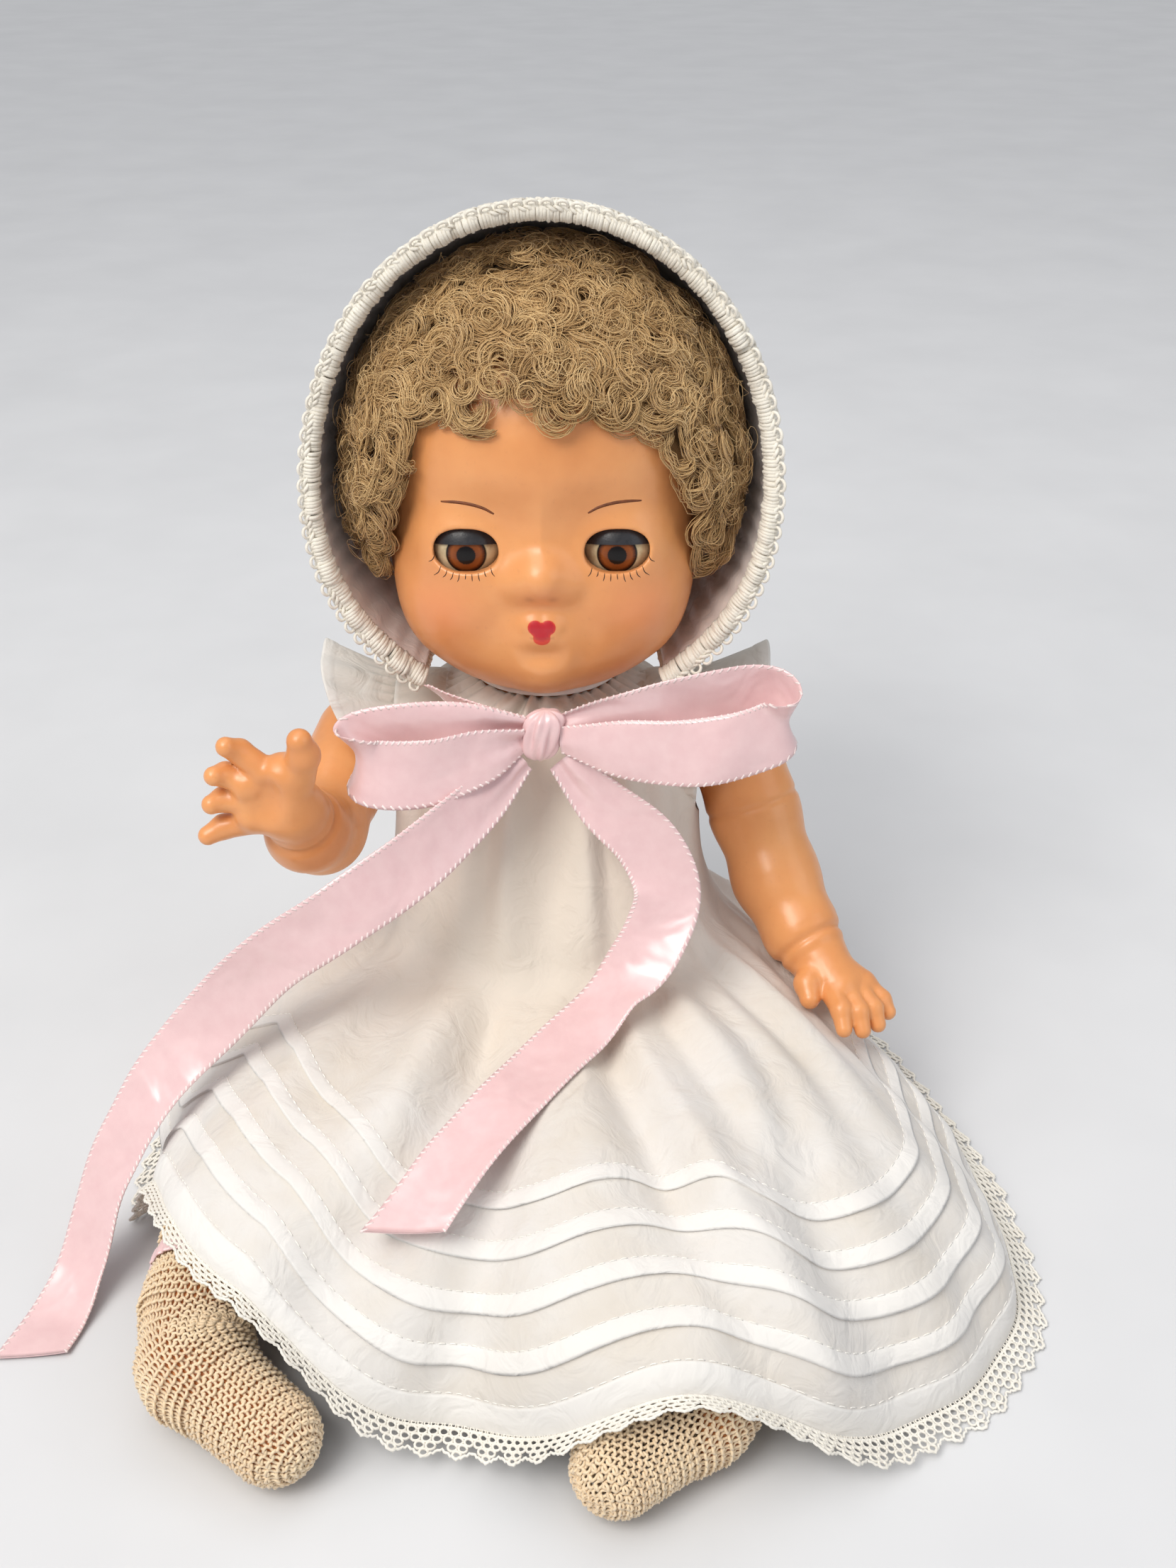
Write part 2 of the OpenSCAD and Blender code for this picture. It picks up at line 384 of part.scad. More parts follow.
module dress_skirt() color(cotton) sheet(
  [for (i = [0:11]) [for (j = [0:55]) skirt_pt(j*360/56, i/11, 0)]],
  [for (i = [0:11]) [for (j = [0:55]) skirt_pt(j*360/56, i/11, cloth)]], wrap = true);
function lace_pt(a, u, up) = let (w = waist_xy(a), h = hem_xy(a), out = unit([h[0] - w[0], h[1] - w[1]]), z1 = 0.5 + foot_lift(h[0], h[1]))
  [h[0] + out[0]*(0.15 + u*lace_w*lerp(1, 0.55, ramp(z1, 2, 14))), h[1] + out[1]*(0.15 + u*lace_w*lerp(1, 0.55, ramp(z1, 2, 14))),
   z1 + up + u*lace_w*0.1*ramp(z1, 4, 14)];
module hem_lace() color(thread) sheet(
  [for (i = [0:1]) [for (j = [0:55]) lace_pt(j*360/56, i, 0.5)]],
  [for (i = [0:1]) [for (j = [0:55]) lace_pt(j*360/56, i, -0.2)]], wrap = true);
module dress_buttons() color([0.96, 0.95, 0.92]) for (k = [[33.2, 68.2], [33.9, 58]]) translate([0, k[0], k[1]]) rotate([-82, 0, 0]) difference() {
  cylinder(r = 2.6, h = 1.2, $fn = 40);
  translate([0, 0, 0.8]) cylinder(r = 1.8, h = 1, $fn = 40);
  for (x = [-0.7, 0.7], y = [-0.7, 0.7]) translate([x, y, -1]) cylinder(r = 0.3, h = 4, $fn = 20);
}

// ---------- ribbon ----------
knot = [0, -10, 77];
module bow_knot() color(pink) hull() for (x = [-1.8, 1.8], z = [-2.4, 2.4]) translate(knot + [x, 0, z]) sphere(r = 2, $fn = 18);
// From each lower corner of the bonnet to the knot
tie = [[[17, 0.4, 78.5], [0.2, -0.75, 0.6], 3.2], [[14.5, -3.2, 78.4], [0.1, -0.5, 0.85], 3.4], [[9.6, -6.8, 77.8], [0, -0.2, 1], 3.2], [[4.6, -8.2, 77.2], [0, 0, 1], 2.4]];
function mirror_x(p) = [for (q = p) [[-q[0][0], q[0][1], q[0][2]], [-q[1][0], q[1][1], q[1][2]], q[2]]];
module bonnet_ties() color(pink) { ribbon(smooth_path(tie, 3)); ribbon(smooth_path(mirror_x(tie), 3)); }
// Each loop goes out along its back and returns along its front
loop_l = [[[4.2, -9.8, 77.8], [0, 0, 1], 2.4], [[13, -12.8, 80.8], [0, 0, 1], 4.6], [[25, -13, 84], [0.1, 0, 1], 5.2], [[34, -13, 84.6], [0.25, 0, 1], 5.2], [[37, -16, 82.8], [0.2, 0.1, 1], 5.2],
  [[33.5, -18, 80.4], [0.1, 0.2, 1], 5.2], [[23, -18.4, 78], [0, 0.2, 1], 5.2], [[12, -15.6, 77], [0, 0.2, 1], 4.6], [[4.4, -11.8, 76.6], [0, 0, 1], 2.2]];
loop_r_pts = [[[-4.2, -9.8, 77.8], [0, 0, 1], 2.4], [[-10, -12.8, 78.6], [0, 0, 1], 4.4], [[-18.4, -13.4, 78.6], [0, 0.1, 1], 5.2], [[-25.6, -14, 77.8], [-0.1, 0.1, 1], 5.2], [[-28.4, -15.6, 76.6], [-0.1, 0.2, 1], 5.2],
  [[-25.6, -18.6, 74.8], [0, 0.3, 1], 5.2], [[-17, -18.4, 74.6], [0, 0.3, 1], 5.2], [[-9.6, -15.2, 75.6], [0, 0.2, 1], 4.4], [[-4.4, -11.8, 76.6], [0, 0, 1], 2.2]];
module bow_loop_left() color(pink) ribbon(smooth_path(loop_l, 3));
module bow_loop_right() color(pink) ribbon(smooth_path(loop_r_pts, 3));
// The left tail turns over on the chest and runs across the lap; the right one runs past the wrist to the side of the skirt
tail_l = [[[3, -11.4, 73.2], [-0.6, 0, 0.8], 2.4], [[9, -14, 67], [-0.6, 0.1, 0.8], 4.8], [[16, -16, 61], [-0.9, 0.1, 0.5], 5.2], [[19.4, -18.6, 53.5], [-1, 0, 0.1], 5.2], [[17, -22.4, 46.4], [-1, 0.1, -0.3], 5.2],
  [[11.5, -26, 39.8], [-0.9, 0.2, -0.4], 5.2], [[4.8, -33, 36], [-0.9, 0.4, 0], 5.2], [[-3, -44, 35.2], [-0.8, 0.55, 0], 5.2], [[-11, -56, 33.4], [-0.8, 0.55, 0], 5.2], [[-18.6, -68, 29.6], [-0.8, 0.55, 0.1], 5.2]];
tail_r = [[[-3, -11.4, 73.2], [0.6, 0, 0.8], 2.4], [[-10, -17, 68], [0.5, -0.1, 0.8], 4.8], [[-19.5, -25, 62.6], [0.4, -0.2, 0.9], 5.2], [[-30.5, -30.4, 56.6], [0.5, -0.1, 0.8], 5.2], [[-41.5, -31, 48.6], [0.7, 0, 0.6], 5.2],
  [[-50, -31.6, 39.6], [0.85, 0, 0.3], 5.2], [[-60, -36.6, 29.4], [0.88, -0.35, 0.1], 4.6], [[-67.4, -42.6, 17], [0.85, -0.5, 0], 4.4], [[-71.2, -49, 5.4], [0.85, -0.5, 0], 4.4], [[-73.6, -56, 1.1], [0.88, -0.46, 0], 4.8], [[-76, -64, 0.7], [0.92, -0.36, 0], 5]];
module ribbon_tail_left() color(pink) ribbon(smooth_path(tail_l, 3));
module ribbon_tail_right() color(pink) ribbon(smooth_path(tail_r, 3));

torso_front();
torso_back();
arm_elastic();
leg_elastic();
neck_button();
neck_hook();
head_face();
head_back();
neck_flange();
eye_bracket();
wig();
bonnet_crown();
bonnet_brim();
bonnet_lining_ribbon();
bonnet_back_rosette();
left_eyeball();
right_eyeball();
left_eyelid();
right_eyelid();
eye_axle();
eye_counterweight();
left_arm();
left_arm_hook();
left_sleeve();
right_arm();
right_arm_hook();
right_sleeve();
left_leg();
left_leg_hook();
left_sock();
left_sock_ribbon();
right_leg();
right_leg_hook();
right_sock();
right_sock_ribbon();
dress_bodice();
dress_neck_binding();
dress_skirt();
hem_lace();
dress_buttons();
bonnet_ties();
bow_knot();
bow_loop_left();
bow_loop_right();
ribbon_tail_left();
ribbon_tail_right();
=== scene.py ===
import bpy, math
import numpy as np
from mathutils import Vector, Matrix


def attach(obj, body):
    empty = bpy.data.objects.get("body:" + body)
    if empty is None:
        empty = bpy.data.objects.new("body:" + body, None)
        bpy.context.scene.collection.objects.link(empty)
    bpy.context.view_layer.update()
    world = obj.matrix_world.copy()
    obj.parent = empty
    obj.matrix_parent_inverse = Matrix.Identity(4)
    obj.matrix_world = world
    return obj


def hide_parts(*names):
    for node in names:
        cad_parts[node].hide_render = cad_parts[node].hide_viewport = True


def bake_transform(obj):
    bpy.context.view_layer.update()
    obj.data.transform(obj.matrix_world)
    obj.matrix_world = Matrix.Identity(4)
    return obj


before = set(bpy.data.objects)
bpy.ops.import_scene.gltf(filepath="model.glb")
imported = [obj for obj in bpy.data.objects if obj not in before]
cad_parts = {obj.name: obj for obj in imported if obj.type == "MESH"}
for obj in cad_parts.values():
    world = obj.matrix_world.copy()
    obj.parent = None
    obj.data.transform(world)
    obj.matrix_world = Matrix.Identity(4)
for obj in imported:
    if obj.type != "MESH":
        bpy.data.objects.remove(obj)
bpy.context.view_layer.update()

rng = np.random.default_rng(11)

# ------------------------------------------------------------------ camera
def aim(obj, target):
    obj.rotation_euler = (Vector(target) - obj.location).to_track_quat('-Z', 'Y').to_euler()

cam_data = bpy.data.cameras.new("camera")
cam = bpy.data.objects.new("camera", cam_data)
bpy.context.scene.collection.objects.link(cam)
cam_data.sensor_fit = 'VERTICAL'
cam_data.sensor_height = 24.0
CAM_F = 2.202                       # focal length over frame height
cam_data.lens = 24.0 * CAM_F / 2.0
cam_data.clip_start = 0.01
ELEV, DIST, LOOK = 30.0, 0.275, (0.0070, -0.0060, 0.0656)
ce, se = math.cos(math.radians(ELEV)), math.sin(math.radians(ELEV))
cam.location = (LOOK[0], LOOK[1] - DIST * ce, LOOK[2] + DIST * se)
aim(cam, LOOK)
bpy.context.scene.camera = cam

# ------------------------------------------------------------------ mesh helpers (millimetres in, metres out)
def build(name, verts, faces, mat=None, attrs=None, smooth=True):
    verts = np.asarray(verts, dtype=np.float64)
    faces = [np.asarray(f, dtype=np.int32) for f in (faces if isinstance(faces, list) else [faces])]
    me = bpy.data.meshes.new(name)
    me.vertices.add(len(verts))
    me.vertices.foreach_set("co", (verts * 0.001).astype(np.float32).ravel())
    loops = np.concatenate([f.ravel() for f in faces])
    sizes = np.concatenate([np.full(len(f), f.shape[1], dtype=np.int32) for f in faces])
    starts = np.concatenate([[0], np.cumsum(sizes)[:-1]]).astype(np.int32)
    me.loops.add(len(loops))
    me.loops.foreach_set("vertex_index", loops)
    me.polygons.add(len(sizes))
    me.polygons.foreach_set("loop_start", starts)
    me.update(calc_edges=True)
    me.polygons.foreach_set("use_smooth", np.full(len(sizes), smooth, dtype=bool))
    for key, val in (attrs or {}).items():
        val = np.asarray(val, dtype=np.float32)
        if val.ndim == 1:
            me.attributes.new(key, 'FLOAT', 'POINT').data.foreach_set("value", val)
        else:
            if val.shape[1] == 3:
                val = np.concatenate([val, np.ones((len(val), 1), np.float32)], 1)
            me.attributes.new(key, 'FLOAT_COLOR', 'POINT').data.foreach_set("color", val.ravel())
    ob = bpy.data.objects.new(name, me)
    bpy.context.scene.collection.objects.link(ob)
    if mat:
        me.materials.append(mat)
    return ob

def unit(v):
    return v / np.maximum(np.linalg.norm(v, axis=-1, keepdims=True), 1e-12)

def grid_faces(m, n, wrap=False, off=0):
    i = np.arange(m - 1)[:, None]
    j = np.arange(n if wrap else n - 1)[None, :]
    a = i * n + j
    b = i * n + (j + 1) % n
    return (np.stack([a, b, b + n, a + n], -1).reshape(-1, 4) + off).astype(np.int32)

def spline(P, k):
    """Catmull-Rom through the points P, k steps a span."""
    P = np.asarray(P, float)
    Q = np.concatenate([[2 * P[0] - P[1]], P, [2 * P[-1] - P[-2]]])
    t = np.linspace(0, 1, k, endpoint=False)[:, None]
    out = []
    for i in range(len(P) - 1):
        a, b, c, d = Q[i:i + 4]
        out.append(0.5 * ((2 * b) + (c - a) * t + (2 * a - 5 * b + 4 * c - d) * t ** 2 + (3 * b - a - 3 * c + d) * t ** 3))
    out.append(P[-1:])
    return np.concatenate(out)

def frames(path):
    T = unit(np.gradient(path, axis=0))
    N = np.zeros_like(T)
    ref = np.array([0.0, 0, 1]) if abs(T[0][2]) < 0.9 else np.array([1.0, 0, 0])
    n = unit(np.cross(T[0], ref))
    for i in range(len(T)):
        n = n - T[i] * np.dot(n, T[i])
        n = n / max(np.linalg.norm(n), 1e-9)
        N[i] = n
    return T, N, np.cross(T, N)

class Tubes:
    """Many thin tubes gathered into one mesh."""
    def __init__(self):
        self.v, self.f, self.a, self.n = [], [], [], 0
    def add_many(self, P, r, sides=5, val=None):
        """P: (count, points, 3); r: scalar, (points,) or (count, points)."""
        P = np.asarray(P, float)
        c, m, _ = P.shape
        T = unit(np.gradient(P, axis=1))
        ref = np.where(np.abs(T[:, :, 2:3]) < 0.85, np.array([0.0, 0, 1]), np.array([1.0, 0, 0]))
        N = unit(np.cross(T, ref))
        for i in range(1, m):       # keep each ring in step with the one before
            p = N[:, i - 1] - T[:, i] * np.sum(N[:, i - 1] * T[:, i], -1, keepdims=True)
            N[:, i] = unit(p)
        B = np.cross(T, N)
        r = np.broadcast_to(np.asarray(r, float), (c, m))[:, :, None, None]
        ang = np.arange(sides) * 2 * np.pi / sides
        ring = P[:, :, None] + r * (N[:, :, None] * np.cos(ang)[None, None, :, None] + B[:, :, None] * np.sin(ang)[None, None, :, None])
        self.v.append(ring.reshape(-1, 3))
        base = grid_faces(m, sides, True)
        offs = self.n + np.arange(c)[:, None, None] * (m * sides)
        self.f.append((base[None] + offs).reshape(-1, 4).astype(np.int32))
        caps = []
        if sides == 4:
            caps = [np.array([[3, 2, 1, 0]]), np.array([[0, 1, 2, 3]]) + (m - 1) * sides]
            for cp in caps:
                self.f.append((cp[None] + offs).reshape(-1, 4).astype(np.int32))
        else:
            self.tri = getattr(self, "tri", [])
            for start, flip in ((0, True), ((m - 1) * sides, False)):
                t = np.array([[0, i, i + 1] for i in range(1, sides - 1)]) + start
                t = t[:, ::-1] if flip else t
                self.tri.append((t[None] + offs).reshape(-1, 3).astype(np.int32))
        if val is not None:
            val = np.broadcast_to(np.asarray(val, float).reshape(c, -1, 1) if np.ndim(val) else val, (c, m, sides))
            self.a.append(val.ravel())
        else:
            self.a.append(np.zeros(c * m * sides))
        self.n += c * m * sides
    def obj(self, name, mat, attr="shade"):
        faces = [np.concatenate(self.f)]
        if getattr(self, "tri", None):
            faces.append(np.concatenate(self.tri))
        return build(name, np.concatenate(self.v), faces, mat, {attr: np.concatenate(self.a)})

# ------------------------------------------------------------------ distance-field modelling
def smin(a, b, k):
    h = np.clip(0.5 + 0.5 * (b - a) / k, 0, 1)
    return b + (a - b) * h - k * h * (1 - h)

def smax(a, b, k):
    return -smin(-a, -b, k)

def ell(p, c, r):
    q = (p - np.asarray(c, float)) / np.asarray(r, float)
    k0 = np.sqrt((q * q).sum(-1))
    k1 = np.sqrt(((q / np.asarray(r, float)) ** 2).sum(-1))
    return k0 * (k0 - 1) / np.maximum(k1, 1e-6)

def ball(p, c, r):
    return np.sqrt(((p - np.asarray(c, float)) ** 2).sum(-1)) - r

def cone(p, a, b, ra, rb):
    a, b = np.asarray(a, float), np.asarray(b, float)
    ba = b - a
    h = np.clip(((p - a) @ ba) / (ba @ ba), 0, 1)
    return np.sqrt(((p - a - h[..., None] * ba) ** 2).sum(-1)) - (ra + (rb - ra) * h)

def along(p, a, b):
    a, b = np.asarray(a, float), np.asarray(b, float)
    ba = b - a
    return ((p - a) @ ba) / np.linalg.norm(ba)

def nets(f, lo, hi, h):
    lo, hi = np.asarray(lo, float), np.asarray(hi, float)
    n = np.ceil((hi - lo) / h).astype(int) + 1
    xs = [lo[k] + h * np.arange(n[k]) for k in range(3)]
    vol = np.empty(n, np.float32)
    for i in range(0, n[0], 16):
        X, Y, Z = np.meshgrid(xs[0][i:i + 16], xs[1], xs[2], indexing='ij')
        vol[i:i + 16] = f(np.stack([X, Y, Z], -1))
    s = vol < 0
    c8 = [s[dx:n[0] - 1 + dx, dy:n[1] - 1 + dy, dz:n[2] - 1 + dz] for dx in (0, 1) for dy in (0, 1) for dz in (0, 1)]
    cnt = sum(c.astype(np.int8) for c in c8)
    cell = (cnt > 0) & (cnt < 8)
    idx = np.full(cell.shape, -1, np.int64)
    ci = np.argwhere(cell)
    idx[cell] = np.arange(len(ci))
    pos = np.zeros((len(ci), 3)); w = np.zeros(len(ci))
    for ax in range(3):
        oth = [k for k in range(3) if k != ax]
        for d0 in (0, 1):
            for d1 in (0, 1):
                a = ci.copy(); a[:, oth[0]] += d0; a[:, oth[1]] += d1
                b = a.copy(); b[:, ax] += 1
                va = vol[a[:, 0], a[:, 1], a[:, 2]]; vb = vol[b[:, 0], b[:, 1], b[:, 2]]
                m = (va < 0) != (vb < 0)
                t = va[m] / (va[m] - vb[m])
                pos[m] += a[m] + t[:, None] * (b[m] - a[m]); w[m] += 1
    v = lo + h * pos / w[:, None]
    faces = []
    for ax in range(3):
        o1, o2 = (ax + 1) % 3, (ax + 2) % 3
        sl0 = [slice(None)] * 3; sl1 = [slice(None)] * 3
        sl0[ax] = slice(0, n[ax] - 1); sl1[ax] = slice(1, n[ax])
        e = np.argwhere(s[tuple(sl0)] != s[tuple(sl1)])
        e = e[(e[:, o1] > 0) & (e[:, o2] > 0) & (e[:, o1] < n[o1] - 1) & (e[:, o2] < n[o2] - 1)]
        q = []
        for d1, d2 in ((0, 0), (1, 0), (1, 1), (0, 1)):
            c = e.copy(); c[:, o1] -= d1; c[:, o2] -= d2
            q.append(idx[c[:, 0], c[:, 1], c[:, 2]])
        q = np.stack(q, -1)
        inside = s[e[:, 0], e[:, 1], e[:, 2]]
        q[inside] = q[inside][:, ::-1]
        faces.append(q[:, ::-1])
    faces = np.concatenate(faces)
    fn = np.cross(v[faces[:, 1]] - v[faces[:, 0]], v[faces[:, 2]] - v[faces[:, 0]])
    k = slice(0, len(faces), 37)
    if (fn[k] * grad(f, v[faces[k, 0]])).sum() < 0:
        faces = faces[:, ::-1]
    for _ in range(2):              # settle the points on the true surface
        g = grad(f, v); d = f(v)
        v = v - np.clip(d, -h, h)[:, None] * g / np.maximum((g * g).sum(-1, keepdims=True), 0.25)
    return v, faces.astype(np.int32)

def grad(f, v, e=0.04):
    g = np.empty_like(v)
    for k in range(3):
        d = np.zeros(3); d[k] = e
        g[:, k] = (f(v + d) - f(v - d)) / (2 * e)
    return g

# ------------------------------------------------------------------ materials
def material(name, base, rough=0.5, **kw):
    m = bpy.data.materials.new(name)
    m.use_nodes = True
    nt = m.node_tree
    b = nt.nodes["Principled BSDF"]
    b.inputs["Base Color"].default_value = (*base, 1)
    b.inputs["Roughness"].default_value = rough
    for key, val in kw.items():
        key = key.replace("_", " ")
        b.inputs[key].default_value = val
    return m, nt, b

class N:
    """Small node-writing helper."""
    def __init__(self, nt):
        self.nt = nt
    def new(self, kind, **kw):
        n = self.nt.nodes.new(kind)
        for k, v in kw.items():
            setattr(n, k, v)
        return n
    def link(self, a, b):
        self.nt.links.new(a, b)
    def coord(self, scale=1.0):
        t = self.new("ShaderNodeTexCoord")
        m = self.new("ShaderNodeVectorMath", operation='SCALE')
        self.link(t.outputs["Object"], m.inputs[0])
        m.inputs["Scale"].default_value = 1000.0 * scale
        return m.outputs[0]                 # object space, millimetres
    def noise(self, vec, scale, detail=3.0, rough=0.55, distort=0.0):
        n = self.new("ShaderNodeTexNoise")
        self.link(vec, n.inputs["Vector"])
        n.inputs["Scale"].default_value = scale
        n.inputs["Detail"].default_value = detail
        n.inputs["Roughness"].default_value = rough
        n.inputs["Distortion"].default_value = distort
        return n.outputs["Fac"]
    def ramp(self, fac, stops):
        n = self.new("ShaderNodeValToRGB")
        el = n.color_ramp.elements
        while len(el) < len(stops):
            el.new(0.5)
        for e, (p, c) in zip(el, stops):
            e.position = p
            e.color = (*c, 1) if len(c) == 3 else c
        self.link(fac, n.inputs["Fac"])
        return n.outputs["Color"]
    def attr(self, name):
        n = self.new("ShaderNodeAttribute", attribute_name=name)
        return n
    def math(self, op, a, b=None, c=None, clamp=False):
        n = self.new("ShaderNodeMath", operation=op, use_clamp=clamp)
        for i, x in enumerate((a, b, c)):
            if x is None:
                continue
            if isinstance(x, (int, float)):
                n.inputs[i].default_value = x
            else:
                self.link(x, n.inputs[i])
        return n.outputs[0]
    def mix(self, fac, a, b, blend='MIX'):
        n = self.new("ShaderNodeMix", data_type='RGBA', blend_type=blend)
        n.clamp_factor = True
        for sock, x in ((n.inputs[0], fac), (n.inputs[6], a), (n.inputs[7], b)):
            if isinstance(x, (int, float)):
                sock.default_value = x
            elif isinstance(x, tuple):
                sock.default_value = (*x, 1)
            else:
                self.link(x, sock)
        return n.outputs[2]
    def bump(self, height, strength, dist, normal=None):
        n = self.new("ShaderNodeBump")
        n.inputs["Strength"].default_value = strength
        n.inputs["Distance"].default_value = dist
        self.link(height, n.inputs["Height"])
        if normal is not None:
            self.link(normal, n.inputs["Normal"])
        return n.outputs["Normal"]
    def maprange(self, x, a, b, c, d):
        n = self.new("ShaderNodeMapRange")
        self.link(x, n.inputs[0])
        for i, v in enumerate((a, b, c, d)):
            n.inputs[i + 1].default_value = v
        return n.outputs[0]

def skin_material(name, painted=False):
    m, nt, b = material(name, (0.80, 0.36, 0.14), 0.36, Coat_Weight=0.25, Coat_Roughness=0.22, Subsurface_Weight=0.06, Subsurface_Scale=0.002)
    b.inputs["Subsurface Radius"].default_value = (1.0, 0.4, 0.2)
    n = N(nt)
    p = n.coord()
    blotch = n.noise(p, 0.055, 4, 0.6)
    col = n.ramp(blotch, [(0.28, (0.72, 0.285, 0.095)), (0.5, (0.79, 0.335, 0.118)), (0.74, (0.84, 0.385, 0.145))])
    speck = n.noise(p, 1.3, 2, 0.6)
    col = n.mix(n.maprange(speck, 0.62, 0.8, 0.0, 0.22), col, (0.60, 0.24, 0.09))
    if painted:
        a = n.attr("blush")
        col = n.mix(n.math('MULTIPLY', a.outputs["Fac"], 0.5), col, (0.80, 0.235, 0.115))
        a = n.attr("lip")
        lc = n.attr("lipcol")
        col = n.mix(n.maprange(a.outputs["Fac"], -0.07, 0.07, 0.0, 1.0), col, lc.outputs["Color"])
        # painted shade: the head's "shade" layer darkens the face paint towards dark brown
        a = n.attr("shade")
        col = n.mix(a.outputs["Fac"], col, (0.30, 0.09, 0.035))
    nt.links.new(col, b.inputs["Base Color"])
    r = n.noise(p, 0.35, 3)
    nt.links.new(n.maprange(r, 0.3, 0.7, 0.29, 0.42), b.inputs["Roughness"])
    h = n.noise(p, 1.1, 3, 0.6)
    wave = n.noise(p, 0.16, 2, 0.5)
    nrm = n.bump(wave, 0.35, 0.0006)
    nt.links.new(n.bump(h, 0.14, 0.00012, nrm), b.inputs["Normal"])
    return m

SKIN = skin_material("skin")
FACE = skin_material("skin_painted", True)

def cloth_material(name, base, rough=0.85, weave=5.5, trans=0.0, tint=None, sheen=0.25, strength=0.35):
    """Plain weave from the mesh's "uv" attribute, with soft yellowing and thread slubs from the object's own
    coordinates.
    """
    m, nt, b = material(name, base, rough, Sheen_Weight=sheen, Sheen_Roughness=0.5)
    n = N(nt)
    uv = n.attr("uv").outputs["Vector"]
    sep = n.new("ShaderNodeSeparateXYZ"); nt.links.new(uv, sep.inputs[0])
    wu = n.math('SINE', n.math('MULTIPLY', sep.outputs[0], weave * 2 * math.pi))
    wv = n.math('SINE', n.math('MULTIPLY', sep.outputs[1], weave * 2 * math.pi))
    w = n.math('MULTIPLY', wu, wv)
    p = n.coord()
    slub = n.noise(p, 0.9, 4, 0.7)
    age = n.noise(p, 0.045, 4, 0.6)
    c2 = tint or tuple(x * y for x, y in zip(base, (0.90, 0.84, 0.75)))
    col = n.mix(n.maprange(age, 0.42, 0.72, 0.0, 0.75), base, c2)
    col = n.mix(n.maprange(slub, 0.55, 0.8, 0.0, 0.22), col, tuple(x * 0.8 for x in base))
    if name == "batiste":
        col = n.mix(n.math('MULTIPLY', n.attr("warm").outputs["Fac"], 1.0, clamp=True), col, (0.74, 0.665, 0.575))
        col = n.mix(n.math('MULTIPLY', n.attr("lay").outputs["Fac"], 0.8, clamp=True), col, (0.82, 0.80, 0.77))
    nt.links.new(col, b.inputs["Base Color"])
    h = n.math('ADD', n.math('MULTIPLY', w, 0.5), n.math('MULTIPLY', slub, 0.9))
    soft_ = n.bump(n.noise(p, 0.17, 3, 0.5, 1.2), 0.55, 0.0011)
    nt.links.new(n.bump(h, strength, 0.00006, soft_), b.inputs["Normal"])
    if trans:
        b.inputs["Transmission Weight"].default_value = 0.0
        tr = n.new("ShaderNodeBsdfTranslucent")
        nt.links.new(col, tr.inputs["Color"])
        mx = n.new("ShaderNodeMixShader")
        mx.inputs[0].default_value = trans
        out = nt.nodes["Material Output"]
        nt.links.new(b.outputs[0], mx.inputs[1]); nt.links.new(tr.outputs[0], mx.inputs[2])
        nt.links.new(mx.outputs[0], out.inputs["Surface"])
    return m

BATISTE = cloth_material("batiste", (0.72, 0.69, 0.655), 0.9, weave=3.2, sheen=0.2)
THREAD_M = cloth_material("cotton_thread", (0.90, 0.87, 0.81), 0.75, weave=1.0, sheen=0.3)

def yarn_material(name, base, dark, rough=0.6, twist=1.6, sheen=0.3, fine=5.0, bumpy=0.5):
    m, nt, b = material(name, base, rough, Sheen_Weight=sheen, Sheen_Roughness=0.4)
    n = N(nt)
    p = n.coord()
    big = n.noise(p, 0.12, 3, 0.6)
    fib = n.noise(p, fine, 3, 0.7)
    sh = n.attr("shade").outputs["Fac"]
    col = n.mix(n.maprange(big, 0.35, 0.7, 0.0, 0.6), base, tuple(0.5 * (x + y) for x, y in zip(base, dark)))
    col = n.mix(n.math('MULTIPLY', sh, 1.0, clamp=True), col, dark)
    col = n.mix(n.maprange(fib, 0.5, 0.75, 0.0, 0.35), col, dark)
    nt.links.new(col, b.inputs["Base Color"])
    nt.links.new(n.bump(fib, bumpy, 0.00012), b.inputs["Normal"])
    return m

CROCHET = yarn_material("crochet_cotton", (0.88, 0.84, 0.75), (0.62, 0.55, 0.44), 0.62)
LACE = yarn_material("lace_cotton", (0.90, 0.87, 0.80), (0.68, 0.62, 0.52), 0.7)
KNIT = yarn_material("knit_silk", (0.90, 0.73, 0.50), (0.70, 0.46, 0.26), 0.30, sheen=0.5)
STITCH = yarn_material("sewing_thread", (0.93, 0.91, 0.86), (0.75, 0.7, 0.6), 0.6)

def wool_material():
    m, nt, b = material("wool", (0.42, 0.27, 0.12), 0.72, Sheen_Weight=0.35, Sheen_Roughness=0.35)
    n = N(nt)
    p = n.coord()
    sh = n.attr("shade").outputs["Fac"]
    # painted light and shade: the "shade" attribute runs the wool from dark brown (shade deep among the locks) to light
    # tan (lit tops of the locks)
    col = n.ramp(sh, [(0.0, (0.15, 0.075, 0.022)), (0.3, (0.33, 0.185, 0.066)), (0.6, (0.54, 0.335, 0.135)), (1.0, (0.78, 0.545, 0.26))])
    big = n.noise(p, 0.11, 3, 0.6)
    col = n.mix(n.maprange(big, 0.35, 0.7, 0.0, 0.5), col, (0.42, 0.235, 0.08), 'MIX')
    nt.links.new(col, b.inputs["Base Color"])
    f = n.noise(p, 6.0, 2, 0.6)
    nt.links.new(n.bump(f, 0.4, 0.0001), b.inputs["Normal"])
    return m
WOOL = wool_material()

